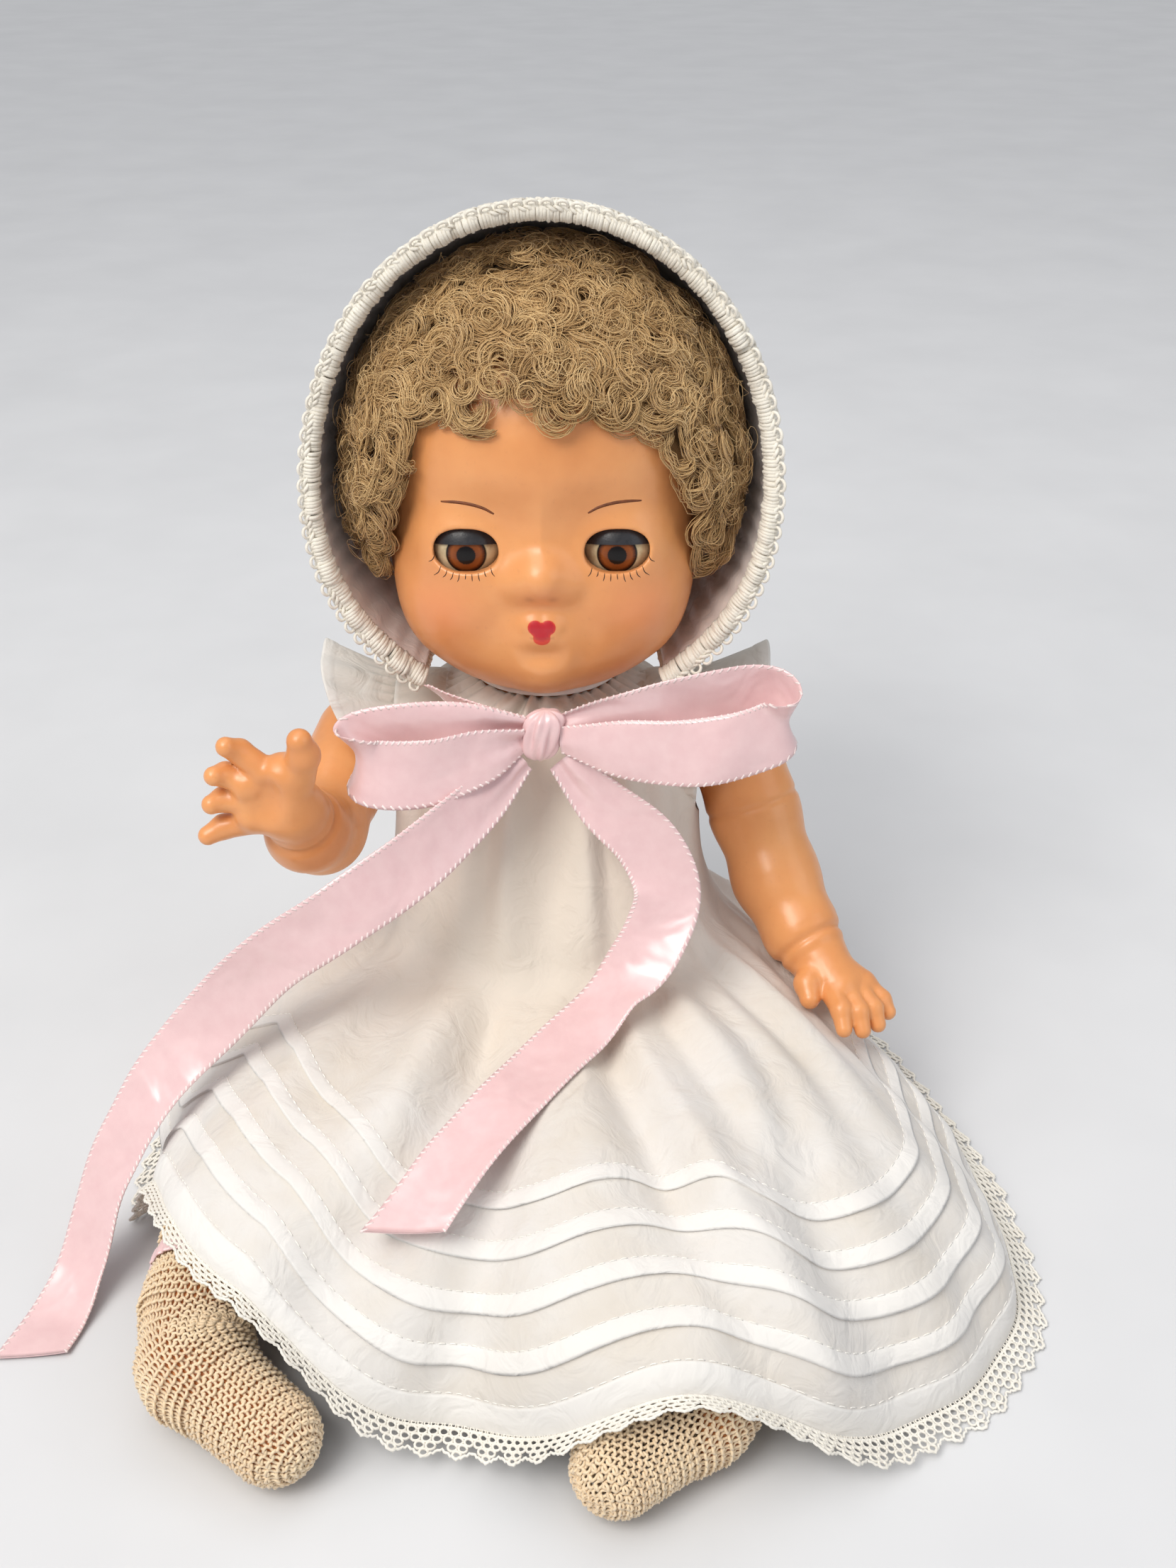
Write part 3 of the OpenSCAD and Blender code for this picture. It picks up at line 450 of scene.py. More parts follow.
def satin_material():
    m, nt, b = material("satin", (0.86, 0.60, 0.60), 0.3, Sheen_Weight=0.3, Sheen_Roughness=0.25, Anisotropic=0.6, Specular_IOR_Level=0.95)
    n = N(nt)
    uv = n.attr("uv").outputs["Vector"]
    sep = n.new("ShaderNodeSeparateXYZ"); nt.links.new(uv, sep.inputs[0])
    across, run, back = sep.outputs[0], sep.outputs[1], sep.outputs[2]
    p = n.coord()
    edge = n.math('GREATER_THAN', n.math('ABSOLUTE', across), 0.865)
    rib = n.math('SINE', n.math('MULTIPLY', run, 2 * math.pi * 1.55))
    fine = n.math('SINE', n.math('MULTIPLY', run, 2 * math.pi * 5.0))
    fl = n.noise(p, 0.4, 3, 0.6)
    col = n.mix(n.maprange(fl, 0.3, 0.75, 0.0, 0.5), (0.82, 0.575, 0.575), (0.735, 0.46, 0.475))
    col = n.mix(n.math('MULTIPLY', back, n.maprange(rib, -1, 1, 0.0, 0.35)), col, (0.60, 0.33, 0.34))
    col = n.mix(edge, col, n.mix(n.maprange(rib, -0.2, 0.2, 0, 1), (0.93, 0.76, 0.74), (0.74, 0.46, 0.47)))
    nt.links.new(col, b.inputs["Base Color"])
    r = n.math('ADD', 0.27, n.math('MULTIPLY', back, 0.25))
    r = n.math('ADD', r, n.math('MULTIPLY', edge, 0.2))
    nt.links.new(r, b.inputs["Roughness"])
    h = n.math('ADD', n.math('MULTIPLY', fine, 0.25), n.math('MULTIPLY', rib, n.math('ADD', n.math('MULTIPLY', back, 1.4), n.math('MULTIPLY', edge, 1.6))))
    nrm = n.bump(n.noise(p, 0.10, 2, 0.5, 0.6), 0.7, 0.0011)
    nt.links.new(n.bump(h, 0.5, 0.00008, nrm), b.inputs["Normal"])
    return m
SATIN = satin_material()

def simple(name, base, rough, scale=1.0, var=0.2, bumpd=0.0001, **kw):
    m, nt, b = material(name, base, rough, **kw)
    n = N(nt); p = n.coord()
    a = n.noise(p, 0.3 * scale, 4, 0.6)
    col = n.mix(n.maprange(a, 0.35, 0.7, 0, 1), base, tuple(x * (1 - var) for x in base))
    nt.links.new(col, b.inputs["Base Color"])
    nt.links.new(n.bump(n.noise(p, 1.5 * scale, 3), 0.3, bumpd), b.inputs["Normal"])
    r = n.noise(p, 0.8 * scale, 3)
    nt.links.new(n.maprange(r, 0.3, 0.7, max(0.03, rough - 0.08), min(1, rough + 0.1)), b.inputs["Roughness"])
    return m

STEEL = simple("wire_steel", (0.5, 0.49, 0.47), 0.38, Metallic=1.0)
ELASTIC = simple("elastic_cord", (0.06, 0.055, 0.05), 0.85, scale=3)
WOOD = simple("turned_wood", (0.45, 0.27, 0.13), 0.6, scale=0.6, var=0.35)
PLASTER = simple("plaster", (0.72, 0.68, 0.6), 0.9)
IRON = simple("cast_iron", (0.12, 0.12, 0.125), 0.6, Metallic=0.8)
LID = simple("eyelid_paint", (0.022, 0.022, 0.027), 0.42, scale=2, var=0.5, Coat_Weight=0.2, Coat_Roughness=0.2)
BUTTON = simple("pearl_button", (0.86, 0.83, 0.76), 0.22, Coat_Weight=0.5)
LINING = cloth_material("lining_satin", (0.86, 0.76, 0.72), 0.42, weave=4.0, sheen=0.4)

for node, mat in (("torso_front", SKIN), ("torso_back", SKIN), ("neck_flange", SKIN), ("arm_elastic", ELASTIC), ("leg_elastic", ELASTIC),
                  ("neck_button", WOOD), ("neck_hook", STEEL), ("eye_bracket", PLASTER), ("left_eyelid", LID), ("right_eyelid", LID),
                  ("eye_axle", STEEL), ("eye_counterweight", IRON), ("left_arm_hook", STEEL), ("right_arm_hook", STEEL),
                  ("left_leg_hook", STEEL), ("right_leg_hook", STEEL), ("dress_buttons", BUTTON)):
    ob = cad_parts[node]
    ob.data.materials.clear()
    ob.data.materials.append(mat)

# ------------------------------------------------------------------ head
LEAN = math.radians(9.0)
HC = np.array([0.0, 22.0, 106.0])
RH = np.array([[1, 0, 0], [0, math.cos(LEAN), math.sin(LEAN)], [0, -math.sin(LEAN), math.cos(LEAN)]])   # head to row
def to_row(p):
    return p @ RH.T + HC
def to_head(p):
    return (p - HC) @ RH
EYE = [np.array([s * 11.4, -16.9, -6.0]) for s in (1, -1)]

def head_field(p):
    x, y, z = p[..., 0], p[..., 1], p[..., 2]
    d = ell(p, (0, 1.2, 5.5), (27.0, 27.6, 27.6))
    d = smin(d, ell(p, (0, -3.0, -10.2), (23.8, 21.4, 20.0)), 7.0)
    d = smin(d, ell(p, (0, -11.5, 11.0), (21.0, 14.6, 15.0)), 6.0)
    ax = np.abs(x)
    q = np.stack([ax, y, z], -1)
    d = smin(d, ell(q, (11.8, -13.0, -15.6), (9.8, 9.8, 10.4)), 7.0)
    d = smin(d, ell(p, (0, -14.0, -22.6), (14.0, 9.4, 8.0)), 4.0)
    d = smin(d, ell(p, (0, -19.2, -24.6), (4.6, 4.6, 4.0)), 3.2)
    d = smin(d, ball(p, (0, -20.0, -18.8), 5.6), 3.5)
    # shallow hollows above the eyes, and the rise that the eye sits in
    d = smax(d, -ell(q, (9.8, -30.6, -2.8), (9.6, 6.2, 5.6)), 5.0)
    d = smin(d, ell(q, (11.4, -16.9, -6.0), (7.6, 7.15, 7.4)), 3.2)
    # nose
    n = ell(p, (0, -25.4, -9.9), (3.3, 3.0, 3.0))
    n = smin(n, ell(q, (2.9, -24.0, -11.0), (2.3, 2.1, 1.9)), 1.8)
    d = smin(d, n, 3.2)
    # lips
    l = ell(q, (1.15, -24.6, -17.1), (1.55, 1.15, 1.2))
    l = smin(l, ell(p, (0, -24.3, -19.1), (1.6, 1.15, 1.1)), 0.7)
    d = smin(d, l, 1.7)
    d = smax(d, -ell(p, (0, -27.9, -22.2), (4.6, 3.4, 1.6)), 2.2)
    # neck
    nk = np.maximum(np.sqrt(x * x + y * y) - 7.9, np.abs(z + 20.0) - 4.6)
    d = smin(d, nk, 2.0)
    # eye openings with a crisp rim, and the pockets behind them
    ex, ez = ax - 11.4, z + 6.1
    e = (np.abs(ex / 4.95) ** 2.35 + np.abs(ez / np.where(ez > 0, 3.45, 3.15)) ** 2.2) ** (1 / 2.25) - 1
    tube = np.maximum(e * 3.3, y + 12.0)
    wall = d + 0.42
    d = smax(d, -tube, 0.45)
    d = np.maximum(d, -np.maximum(np.sqrt(ex ** 2 + (y + 16.9) ** 2 + (z + 6) ** 2) - 6.62, wall))
    return d

def front_of_head(x, z):
    """The head's surface seen from the front, in head space."""
    x, z = np.asarray(x, float), np.asarray(z, float)
    a = np.full(x.shape, -34.0); b = np.full(x.shape, -15.0)
    ok = np.ones(x.shape, bool)
    y = np.full(x.shape, -34.0)
    for _ in range(70):             # march, because the openings make the field uneven
        d = head_field(np.stack([x, y, z], -1))
        y = y + np.clip(d * 0.6, 0.0, 0.8)
    return y

step = 0.36
hv, hf = nets(head_field, (-29.5, -30.5, -33.5), (29.5, 31.0, 35.0), step)
x, y, z = hv.T
ax = np.abs(x)
front = np.clip((-y - 14) / 6, 0, 1)
blush = (np.exp(-((ax - 15.5) / 5.5) ** 2 - ((z + 15.5) / 5.5) ** 2) * 0.75 + np.exp(-(x / 3.4) ** 2 - ((z + 12.6) / 2.2) ** 2) * 0.55) * front
# cupid's-bow upper lip and a small lower lip
up = z + 17.35
upper = np.where(up > 0, 1.02 + 0.62 * np.exp(-((ax - 0.95) / 0.62) ** 2) - 0.16 * ax, 1.35)
u_in = (ax < 2.05) & (y < -22)
lip_u = np.maximum(1.16 - np.hypot(ax - 0.98, z + 17.25), 1.42 - np.hypot(x, z + 18.0))
lip_l = 1.12 - np.hypot(x * 0.85, z + 18.95)
lip = np.clip(np.where(y < -20.5, np.maximum(lip_u, lip_l), -2), -2, 2)
t = np.clip(0.5 + (lip_u - 0.1) / 0.3, 0, 1)[:, None]
lipcol = t * np.array([0.50, 0.012, 0.022]) + (1 - t) * np.array([0.72, 0.050, 0.022])
# painted shade: darker just inside the rims of the eye openings; the same layer also holds darker dots under the nose
# and a darker line between the lips
shade = np.zeros(len(hv))
rim = np.zeros(len(hv))
for E in EYE:
    ex = np.abs(x - E[0]); ez = z + 6.1
    e = ((ex / 4.95) ** 2.35 + np.abs(ez / np.where(ez > 0, 3.45, 3.15)) ** 2.2) ** (1 / 2.25)
    inside = np.clip((1.01 - e) / 0.09, 0, 1) * (y < -10)
    rim = np.maximum(rim, inside)
shade = np.maximum(shade, rim * 0.95)
shade = np.maximum(shade, np.exp(-((ax - 1.7) / 0.75) ** 2 - ((z + 12.75) / 0.5) ** 2) * 0.35 * (y < -22))
shade = np.maximum(shade, np.exp(-((up + 1.72 - 0.10 * ax ** 1.6) / 0.13) ** 2) * (ax < 1.9) * 0.35 * (y < -22))
head = build("head_shell", to_row(hv), hf, FACE, {"blush": blush, "lip": lip, "lipcol": lipcol, "shade": shade})
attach(head, "head")
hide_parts("head_face", "head_back")

# painted brows and lower lashes, as thin strokes lying on the face
def strokes(name, lines, widths, mat, body="head"):
    tb = Tubes()
    for (pts, w) in zip(lines, widths):
        pts = spline(np.asarray(pts, float), 8)
        yy = front_of_head(pts[:, 0], pts[:, 1])
        P = np.stack([pts[:, 0], yy, pts[:, 1]], -1)
        g = unit(grad(head_field, P))
        P = P + g * 0.005
        k = np.linspace(0, 1, len(P))
        r = w * (0.25 + 0.75 * np.sin(np.pi * np.clip(k * 0.92 + 0.06, 0, 1)) ** 0.7)
        T = unit(np.gradient(P, axis=0))
        S = unit(np.cross(g, T))
        ring = np.stack([P + S * r[:, None], P + g * 0.045, P - S * r[:, None], P - g * 0.03], 1)
        tb.v.append(to_row(ring.reshape(-1, 3)))
        m = len(P)
        tb.f.append(grid_faces(m, 4, True, tb.n))
        tb.f.append(np.array([[3, 2, 1, 0], [(m - 1) * 4, (m - 1) * 4 + 1, (m - 1) * 4 + 2, (m - 1) * 4 + 3]], np.int32) + tb.n)
        tb.a.append(np.zeros(m * 4)); tb.n += m * 4
    ob = tb.obj(name, mat)
    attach(ob, body)
    return ob

BROW = simple("brow_paint", (0.22, 0.062, 0.018), 0.5, scale=4, var=0.4)
LASH = simple("lash_paint", (0.02, 0.012, 0.01), 0.45, scale=4, var=0.3)
brow = [(7.0, -0.1), (8.6, 0.75), (10.6, 1.3), (12.8, 1.5), (15.0, 1.4)]
strokes("brows", [brow, [(-a, b - 0.15) for a, b in brow]], [0.30, 0.30], BROW)
lash, lw = [], []
for s in (1, -1):
    for k, t in enumerate(np.linspace(-1.0, 1.0, 11)):
        cx = 11.4 + t * 4.75
        edge = -6.1 - 3.25 * max(0.0, 1 - abs(t * 0.96) ** 2.35) ** (1 / 2.2)
        L = 1.05 + 0.25 * math.sin(k * 2.3) + (0.25 if t > 0.4 else 0)
        dx = 0.75 * t + 0.12
        z0 = edge + (0.15 if abs(t) < 0.9 else 0.5)
        if k == 0:
            continue
        lash.append([(s * cx, z0 - 0.12), (s * (cx + dx * L * 0.35), z0 - 0.12 - L * 0.6), (s * (cx + dx * L), z0 - 0.1 - L)])
        lw.append(0.07)
strokes("painted_lashes", lash, lw, LASH)

# eyes: glossy balls with a painted iris
def eye_material():
    m, nt, b = material("eye", (0.8, 0.75, 0.6), 0.34, Coat_Weight=0.32, Coat_Roughness=0.04, Specular_IOR_Level=0.15)
    n = N(nt)
    a = n.attr("iris")                      # x: radius from the gaze axis in mm, y: angle
    sep = n.new("ShaderNodeSeparateXYZ"); nt.links.new(a.outputs["Vector"], sep.inputs[0])
    rad, cs, sn = sep.outputs
    comb = n.new("ShaderNodeCombineXYZ"); nt.links.new(cs, comb.inputs[0]); nt.links.new(sn, comb.inputs[1])
    sc = n.new("ShaderNodeVectorMath", operation='SCALE'); nt.links.new(comb.outputs[0], sc.inputs[0]); sc.inputs["Scale"].default_value = 3.0
    streak = n.noise(sc.outputs[0], 4.0, 4, 0.7)
    r2 = n.math('ADD', rad, n.math('MULTIPLY', n.math('SUBTRACT', streak, 0.5), 0.35))
    iris = n.ramp(n.maprange(r2, 0.0, 3.6, 0, 1), [(0.0, (0.003, 0.002, 0.002)), (0.38, (0.004, 0.002, 0.002)), (0.43, (0.20, 0.050, 0.010)),
                                                    (0.62, (0.26, 0.070, 0.014)), (0.74, (0.09, 0.022, 0.006)), (0.80, (0.008, 0.006, 0.006)), (0.9, (0.012, 0.010, 0.010))])
    col = n.mix(n.maprange(rad, 2.98, 3.16, 0, 1), iris, n.mix(n.maprange(n.noise(n.coord(), 0.8, 3), 0.4, 0.7, 0, 1), (0.66, 0.56, 0.36), (0.50, 0.40, 0.24)))
    nt.links.new(col, b.inputs["Base Color"])
    return m
EYE_M = eye_material()
for E, nm in zip(EYE, ("left", "right")):
    m_, n_ = 60, 96
    gaze = unit(np.array([0.0, -1.0, -0.14]))
    side = np.array([1.0, 0, 0]); upv = np.cross(gaze, side)
    th = np.concatenate([np.linspace(0, 0.62, 34), np.linspace(0.66, math.pi, m_ - 34)])[:, None]
    ph = (np.arange(n_) * 2 * math.pi / n_)[None, :]
    R = 6.06 + 0.0 * th
    dirs = np.cos(th)[..., None] * gaze + np.sin(th)[..., None] * (np.cos(ph)[..., None] * side + np.sin(ph)[..., None] * upv)
    V = (E + R[..., None] * dirs).reshape(-1, 3)
    rad = (6.06 * np.sin(np.minimum(th, math.pi / 2)) + np.zeros_like(ph)).ravel()
    an = (th * 0 + ph).ravel()
    ob = build(nm + "_eye_glass", to_row(V), grid_faces(m_, n_, True)[:, ::-1], EYE_M,
               {"iris": np.stack([rad, np.cos(an), np.sin(an)], -1)})
    bmod = ob.data
    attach(ob, "eyes"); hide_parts(nm + "_eyeball")
# ------------------------------------------------------------------ arms
def arm_left(p):
    pts = [((31.5, 15.5, 62), 8.1), ((35.6, 10.4, 50.8), 7.3), ((39.2, 4, 41.4), 7.0), ((43.2, -3, 35), 6.0), ((45.6, -6.4, 32.5), 4.9)]
    d = None
    for (a, ra), (b, rb) in zip(pts[:-1], pts[1:]):
        c = cone(p, a, b, ra, rb)
        d = c if d is None else smin(d, c, 3.0)
    s = along(p, (43.2, -3, 35), (46.2, -7.4, 31.7))
    d = d + 0.55 * np.exp(-((s - 2.6) / 0.7) ** 2)
    s = along(p, (31.5, 15.5, 62), (35.6, 10.4, 50.8))
    d = d + 0.30 * np.exp(-((s - 11.5) / 0.6) ** 2)
    q = p - np.array([2.0, -2.4, -0.9])
    palm = smin(cone(q, (44.6, -6.4, 32.4), (46.8, -10.6, 31.2), 4.1, 3.3), cone(q, (45.4, -6.8, 32.0), (50.4, -8.6, 30.4), 4.1, 3.0), 2.0)
    d = smin(d, palm, 1.6)
    for a, m, b in (((45.4, -11.6, 31.4), (46.4, -15.8, 30.9), (46.7, -18.2, 28.8)), ((47.9, -11.2, 31.0), (49.3, -15.4, 30.3), (49.9, -17.6, 28.1)),
                    ((50.0, -10.2, 30.6), (51.9, -13.8, 29.7), (52.7, -15.5, 27.7)), ((51.4, -8.4, 30.2), (53.7, -11.0, 29.3), (54.8, -12.4, 27.9))):
        f = smin(cone(q, a, m, 2.0, 1.75), cone(q, m, b, 1.75, 1.35), 0.6)
        d = smin(d, f, 0.55)
    th = smin(cone(q, (42.6, -7.2, 32.6), (41.4, -10.4, 32.2), 2.6, 2.2), cone(q, (41.4, -10.4, 32.2), (41.6, -12.8, 30.9), 2.2, 1.7), 0.8)
    d = smin(d, th, 0.9)
    return np.maximum(d, 24.3 - p[..., 0])

def arm_right(p):
    pts = [((-31.5, 15.5, 62), 8.1), ((-35.2, 5, 58.5), 7.2), ((-36.6, -4.5, 56.5), 7.0), ((-37.2, -12.5, 61), 6.1), ((-37.8, -16.2, 66.3), 5.0)]
    d = None
    for (a, ra), (b, rb) in zip(pts[:-1], pts[1:]):
        c = cone(p, a, b, ra, rb)
        d = c if d is None else smin(d, c, 3.0)
    s = along(p, (-37.2, -12.5, 61), (-37.8, -16.5, 66.5))
    d = d + 0.5 * np.exp(-((s - 4.2) / 0.7) ** 2)
    palm = smin(cone(p, (-38.4, -18.2, 68.6), (-38.6, -20.2, 75.2), 4.5, 3.6), cone(p, (-38.6, -18.2, 68.4), (-43.6, -19.4, 68.4), 4.3, 3.2), 2.4)
    palm = smin(palm, cone(p, (-39.4, -19.4, 72), (-43.6, -19.8, 73.4), 3.8, 3.0), 2.0)
    palm = smax(palm, -ell(p, (-41.2, -24.8, 72.4), (3.0, 3.0, 4.4)), 1.8)
    d = smin(d, palm, 1.8)
    for a, m, b in (((-41.4, -20.2, 76.2), (-44.8, -19.6, 79.0), (-46.4, -21.2, 80.7)), ((-43.4, -20.2, 73.6), (-47.2, -19.8, 75.2), (-48.6, -21.5, 75.9)),
                    ((-44, -19.8, 70.4), (-48.0, -19.6, 70.8), (-49.6, -21.0, 70.7)), ((-43.6, -19.3, 67.0), (-48.6, -19.2, 65.7), (-50.9, -20.3, 64.8))):
        f = smin(cone(p, a, m, 2.15, 1.9), cone(p, m, b, 1.9, 1.5), 0.6)
        d = smin(d, f, 0.6)
    th = smin(cone(p, (-36.6, -20.0, 75), (-34.9, -21.8, 79.6), 2.9, 2.4), cone(p, (-34.9, -21.8, 79.6), (-35.2, -22.6, 82.4), 2.4, 1.9), 0.8)
    d = smin(d, th, 1.3)
    return np.maximum(d, p[..., 0] + 24.3)

sa = 0.4
for nm, fn, lo, hi in (("left", arm_left, (23.6, -23.5, 22), (59.5, 25, 72)), ("right", arm_right, (-53.5, -26, 47), (-23.6, 25, 85.5))):
    v, f = nets(fn, lo, hi, sa)
    ob = build(nm + "_arm_skin", v, f, SKIN)
    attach(ob, nm + "_arm"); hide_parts(nm + "_arm")

# ------------------------------------------------------------------ legs
LEG = {"left": [((32, 2, 14), 10.7), ((37, -20, 13.4), 10.3), ((42, -40, 14.6), 9.5), ((35.5, -58, 13), 8.2), ((27, -73, 10.6), 7.0), ((22.5, -80, 8.5), 6.6), ((11, -89, 7.4), 5.6)],
       "right": [((-32, 2, 14), 10.7), ((-38, -19, 13.4), 10.3), ((-43.4, -37, 14.6), 9.4), ((-47.5, -52, 13), 8.1), ((-49.8, -63.5, 10.8), 7.0), ((-49, -73, 8.5), 6.6), ((-36, -84, 7.4), 5.6)]}
def leg_field(pts, s, grow=0.0):
    def f(p):
        d = None
        for (a, ra), (b, rb) in zip(pts[:-1], pts[1:]):
            c = cone(p, a, b, ra + grow, rb + grow)
            d = c if d is None else smin(d, c, 3.0)
        return np.where(p[..., 1] > -40, np.maximum(d, 23.0 - s * p[..., 0]), d)
    return f
for nm, s in (("left", 1), ("right", -1)):
    pts = LEG[nm]
    A = np.array([q[0] for q in pts]); lo = A.min(0) - 12.5; hi = A.max(0) + 12.5
    if s > 0: lo[0] = 22
    else: hi[0] = -22
    v, f = nets(leg_field(pts, s), lo, hi, 0.9)
    ob = build(nm + "_leg_skin", v, f, SKIN)
    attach(ob, nm + "_leg"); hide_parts(nm + "_leg")

# ------------------------------------------------------------------ shared shapes
def sstep(x, a, b):
    t = np.clip((np.asarray(x, float) - a) / (b - a), 0, 1)
    return t * t * (3 - 2 * t)

def bell(x, c, w):
    return np.exp(-((np.asarray(x, float) - c) / w) ** 2)

def wobble(seed, lo, hi, n=9):
    r = np.random.default_rng(seed)
    k = unit(r.normal(size=(n, 3))) * r.uniform(lo, hi, (n, 1)); ph = r.uniform(0, 6.283, n)
    return lambda p: np.sin(p @ k.T + ph).sum(-1) / math.sqrt(n)

def ring_noise(seed, lo, hi, n=7):
    """Smooth noise round a closed ring, from the angle alone."""
    r = np.random.default_rng(seed)
    k = r.integers(lo, hi + 1, n); ph = r.uniform(0, 6.283, n)
    return lambda a: np.sin(np.asarray(a)[..., None] * k + ph).sum(-1) / math.sqrt(n)

def finish_mesh(ob, thickness=None):
    """Give a single-layer cloth its thickness, and keep the result as plain mesh."""
    if thickness:
        m = ob.modifiers.new("thick", 'SOLIDIFY')
        m.thickness = thickness; m.offset = -1.0; m.use_rim = True; m.use_even_offset = False
    dg = bpy.context.evaluated_depsgraph_get()
    me = bpy.data.meshes.new_from_object(ob.evaluated_get(dg), preserve_all_data_layers=True, depsgraph=dg)
    ob.modifiers.clear()
    ob.data = me
    return ob

# ------------------------------------------------------------------ wig
WC, WR = np.array([0.0, 2.2, 3.0]), np.array([27.6, 29.0, 30.5])
def scalp(d, off):
    R = 1 / np.sqrt(((d / WR) ** 2).sum(-1))
    return WC + d * (R + off)[..., None]
def hair_edge(a):
    t = np.abs((a - 270 + 540) % 360 - 180)
    return 67 + 46 * sstep(t, 24, 69) + 12 * sstep(t, 100, 170)
def polar(d):
    return np.degrees(np.arctan2(d[..., 1], d[..., 0])) % 360, np.degrees(np.arccos(np.clip(d[..., 2], -1, 1)))
def from_polar(a, f):
    a, f = np.radians(a), np.radians(f)
    return np.stack([np.sin(f) * np.cos(a), np.sin(f) * np.sin(a), np.cos(f)], -1)

m_, n_ = 70, 220
a = (np.arange(n_) * 360 / n_)[None, :] + np.zeros((m_, 1))
u = np.linspace(0, 1, m_)[:, None] + 0 * a
scal = 1.6 * np.sin(np.radians(a) * 21) + 1.1 * np.sin(np.radians(a) * 34 + 1)
f = 2 + (hair_edge(a) - 3 + 0.5 * scal * sstep(u, 0.8, 1)) * u
d = from_polar(a, f)
w1, w2 = wobble(3, 0.5, 1.1), wobble(5, 1.4, 2.4)
off = 2.3 + 0.55 * w1(d * 30) + 0.3 * w2(d * 30)
off = np.minimum(off, 3.4) * (1 - sstep(u, 0.93, 1.0)) + 1.15 * sstep(u, 0.93, 1.0)
V = scalp(d, off)
# painted shade: the base under the curls takes the dark end of the wool ramp, standing in for the shade between the
# locks
wb = build("wig_base", to_row(V.reshape(-1, 3)), [grid_faces(m_, n_, True)[:, ::-1], np.array([np.arange(n_)])], WOOL, {"shade": np.clip(0.10 + 0.12 * w2(d * 30), 0, 1).ravel()})
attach(wb, "head"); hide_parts("wig")

def curls(count, fibres, steps, ds, seed, keep, width, base, rise, rad, kap, painted_light_base, name):
    r = np.random.default_rng(seed)
    i = np.arange(count) + 0.5
    ph = np.arccos(1 - 2 * i / count); th = math.pi * (1 + 5 ** 0.5) * i
    d = np.stack([np.cos(th) * np.sin(ph), np.sin(th) * np.sin(ph), np.cos(ph)], -1)
    d = unit(d + r.normal(scale=0.02, size=d.shape))
    aa, ff = polar(d)
    P = scalp(d, np.full(len(d), 3.0))
    ok = (ff < hair_edge(aa) - 0.5) & keep(P)
    d = d[ok]; L = len(d)
    pos = scalp(d, np.full(L, 3.0))
    nrm = unit((pos - WC) / WR ** 2)
    h = unit(np.cross(nrm, r.normal(size=(L, 3))))
    k = r.choice([-1, 1], L) * r.uniform(kap[0], kap[1], L)
    kd = r.uniform(-0.25, 1.1, L)
    hgt = r.uniform(base[0], base[1], L)
    C, H, Nn = [], [], []
    for s in range(steps):
        t = s / (steps - 1)
        nrm = unit((pos - WC) / WR ** 2)
        h = unit(h - nrm * (h * nrm).sum(-1, keepdims=True))
        ang = (k * (1 + kd * t)) * ds
        h = h * np.cos(ang)[:, None] + np.cross(nrm, h) * np.sin(ang)[:, None]
        pos = pos + h * ds
        dd = unit(pos - WC)
        aa, ff = polar(dd)
        e = hair_edge(aa) + 1.2 + 5.0 * bell(aa, 270, 44) + 8.0 * bell(np.abs((aa - 270 + 540) % 360 - 180), 66, 20)
        over = ff > e
        ff = np.where(over, e - 0.4 * (ff - e), ff)
        dd = from_polar(aa, ff)
        o = hgt + rise * math.sin(math.pi * min(1, t * 0.9 + 0.08))
        o = np.minimum(o, 1.9 + 0.22 * np.maximum(e - ff, 0) ** 1.1 + 0.6)
        o = np.where(pos[:, 1] > -7, np.minimum(o, 4.4), o)
        pos = scalp(dd, o)
        C.append(pos.copy()); H.append(h.copy()); Nn.append(nrm.copy())
    C, H, Nn = (np.stack(q, 1) for q in (C, H, Nn))            # locks, steps, 3
    S = np.cross(Nn, H)
    t = np.linspace(0, 1, steps)
    tap = np.clip(np.sin(np.pi * (t * 0.86 + 0.09)), 0, 1) ** 0.6
    phi = r.uniform(-1.75, 1.75, (L, fibres, 1)) + r.uniform(-1.4, 1.4, (L, 1, 1)) * t
    rho = width * r.uniform(0.45, 1.08, (L, fibres, 1)) * tap * r.uniform(0.8, 1.25, (L, 1, 1))
    wig = r.uniform(0, 6.28, (L, fibres, 1)) + t * r.uniform(4, 9, (L, fibres, 1))
    P = C[:, None] + S[:, None] * (rho * np.sin(phi) + 0.32 * np.sin(wig))[..., None] + Nn[:, None] * (rho * np.cos(phi) * 0.75 + 0.25 * np.cos(wig))[..., None]
    P = P + H[:, None] * r.uniform(-0.8, 0.8, (L, fibres, 1, 1))
    P = P.reshape(-1, steps, 3)
    # painted light: fibres on the top of each lock (cos phi) lighter and those underneath darker, each layer's base
    # level lighter the further out it lies, plus random tone
    sh = painted_light_base + 0.30 * np.cos(phi) + r.uniform(-0.18, 0.18, (L, fibres, 1)) + r.uniform(-0.12, 0.12, (L, 1, 1)) + 0 * t
    rr = rad * (0.35 + 0.65 * tap)
    tb = Tubes()
    tb.add_many(to_row(P.reshape(-1, 3)).reshape(P.shape), rr, 4, np.clip(sh, 0.02, 1).reshape(-1, steps))
    ob = tb.obj(name, WOOL)
    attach(ob, "head")
    return ob

def showing(P):
    t = np.degrees(np.arctan2(P[:, 0], P[:, 2] - 3))
    return (P[:, 1] < 1.0) | ((np.abs(t) > 138) & (P[:, 1] < 40))
q = 1.0
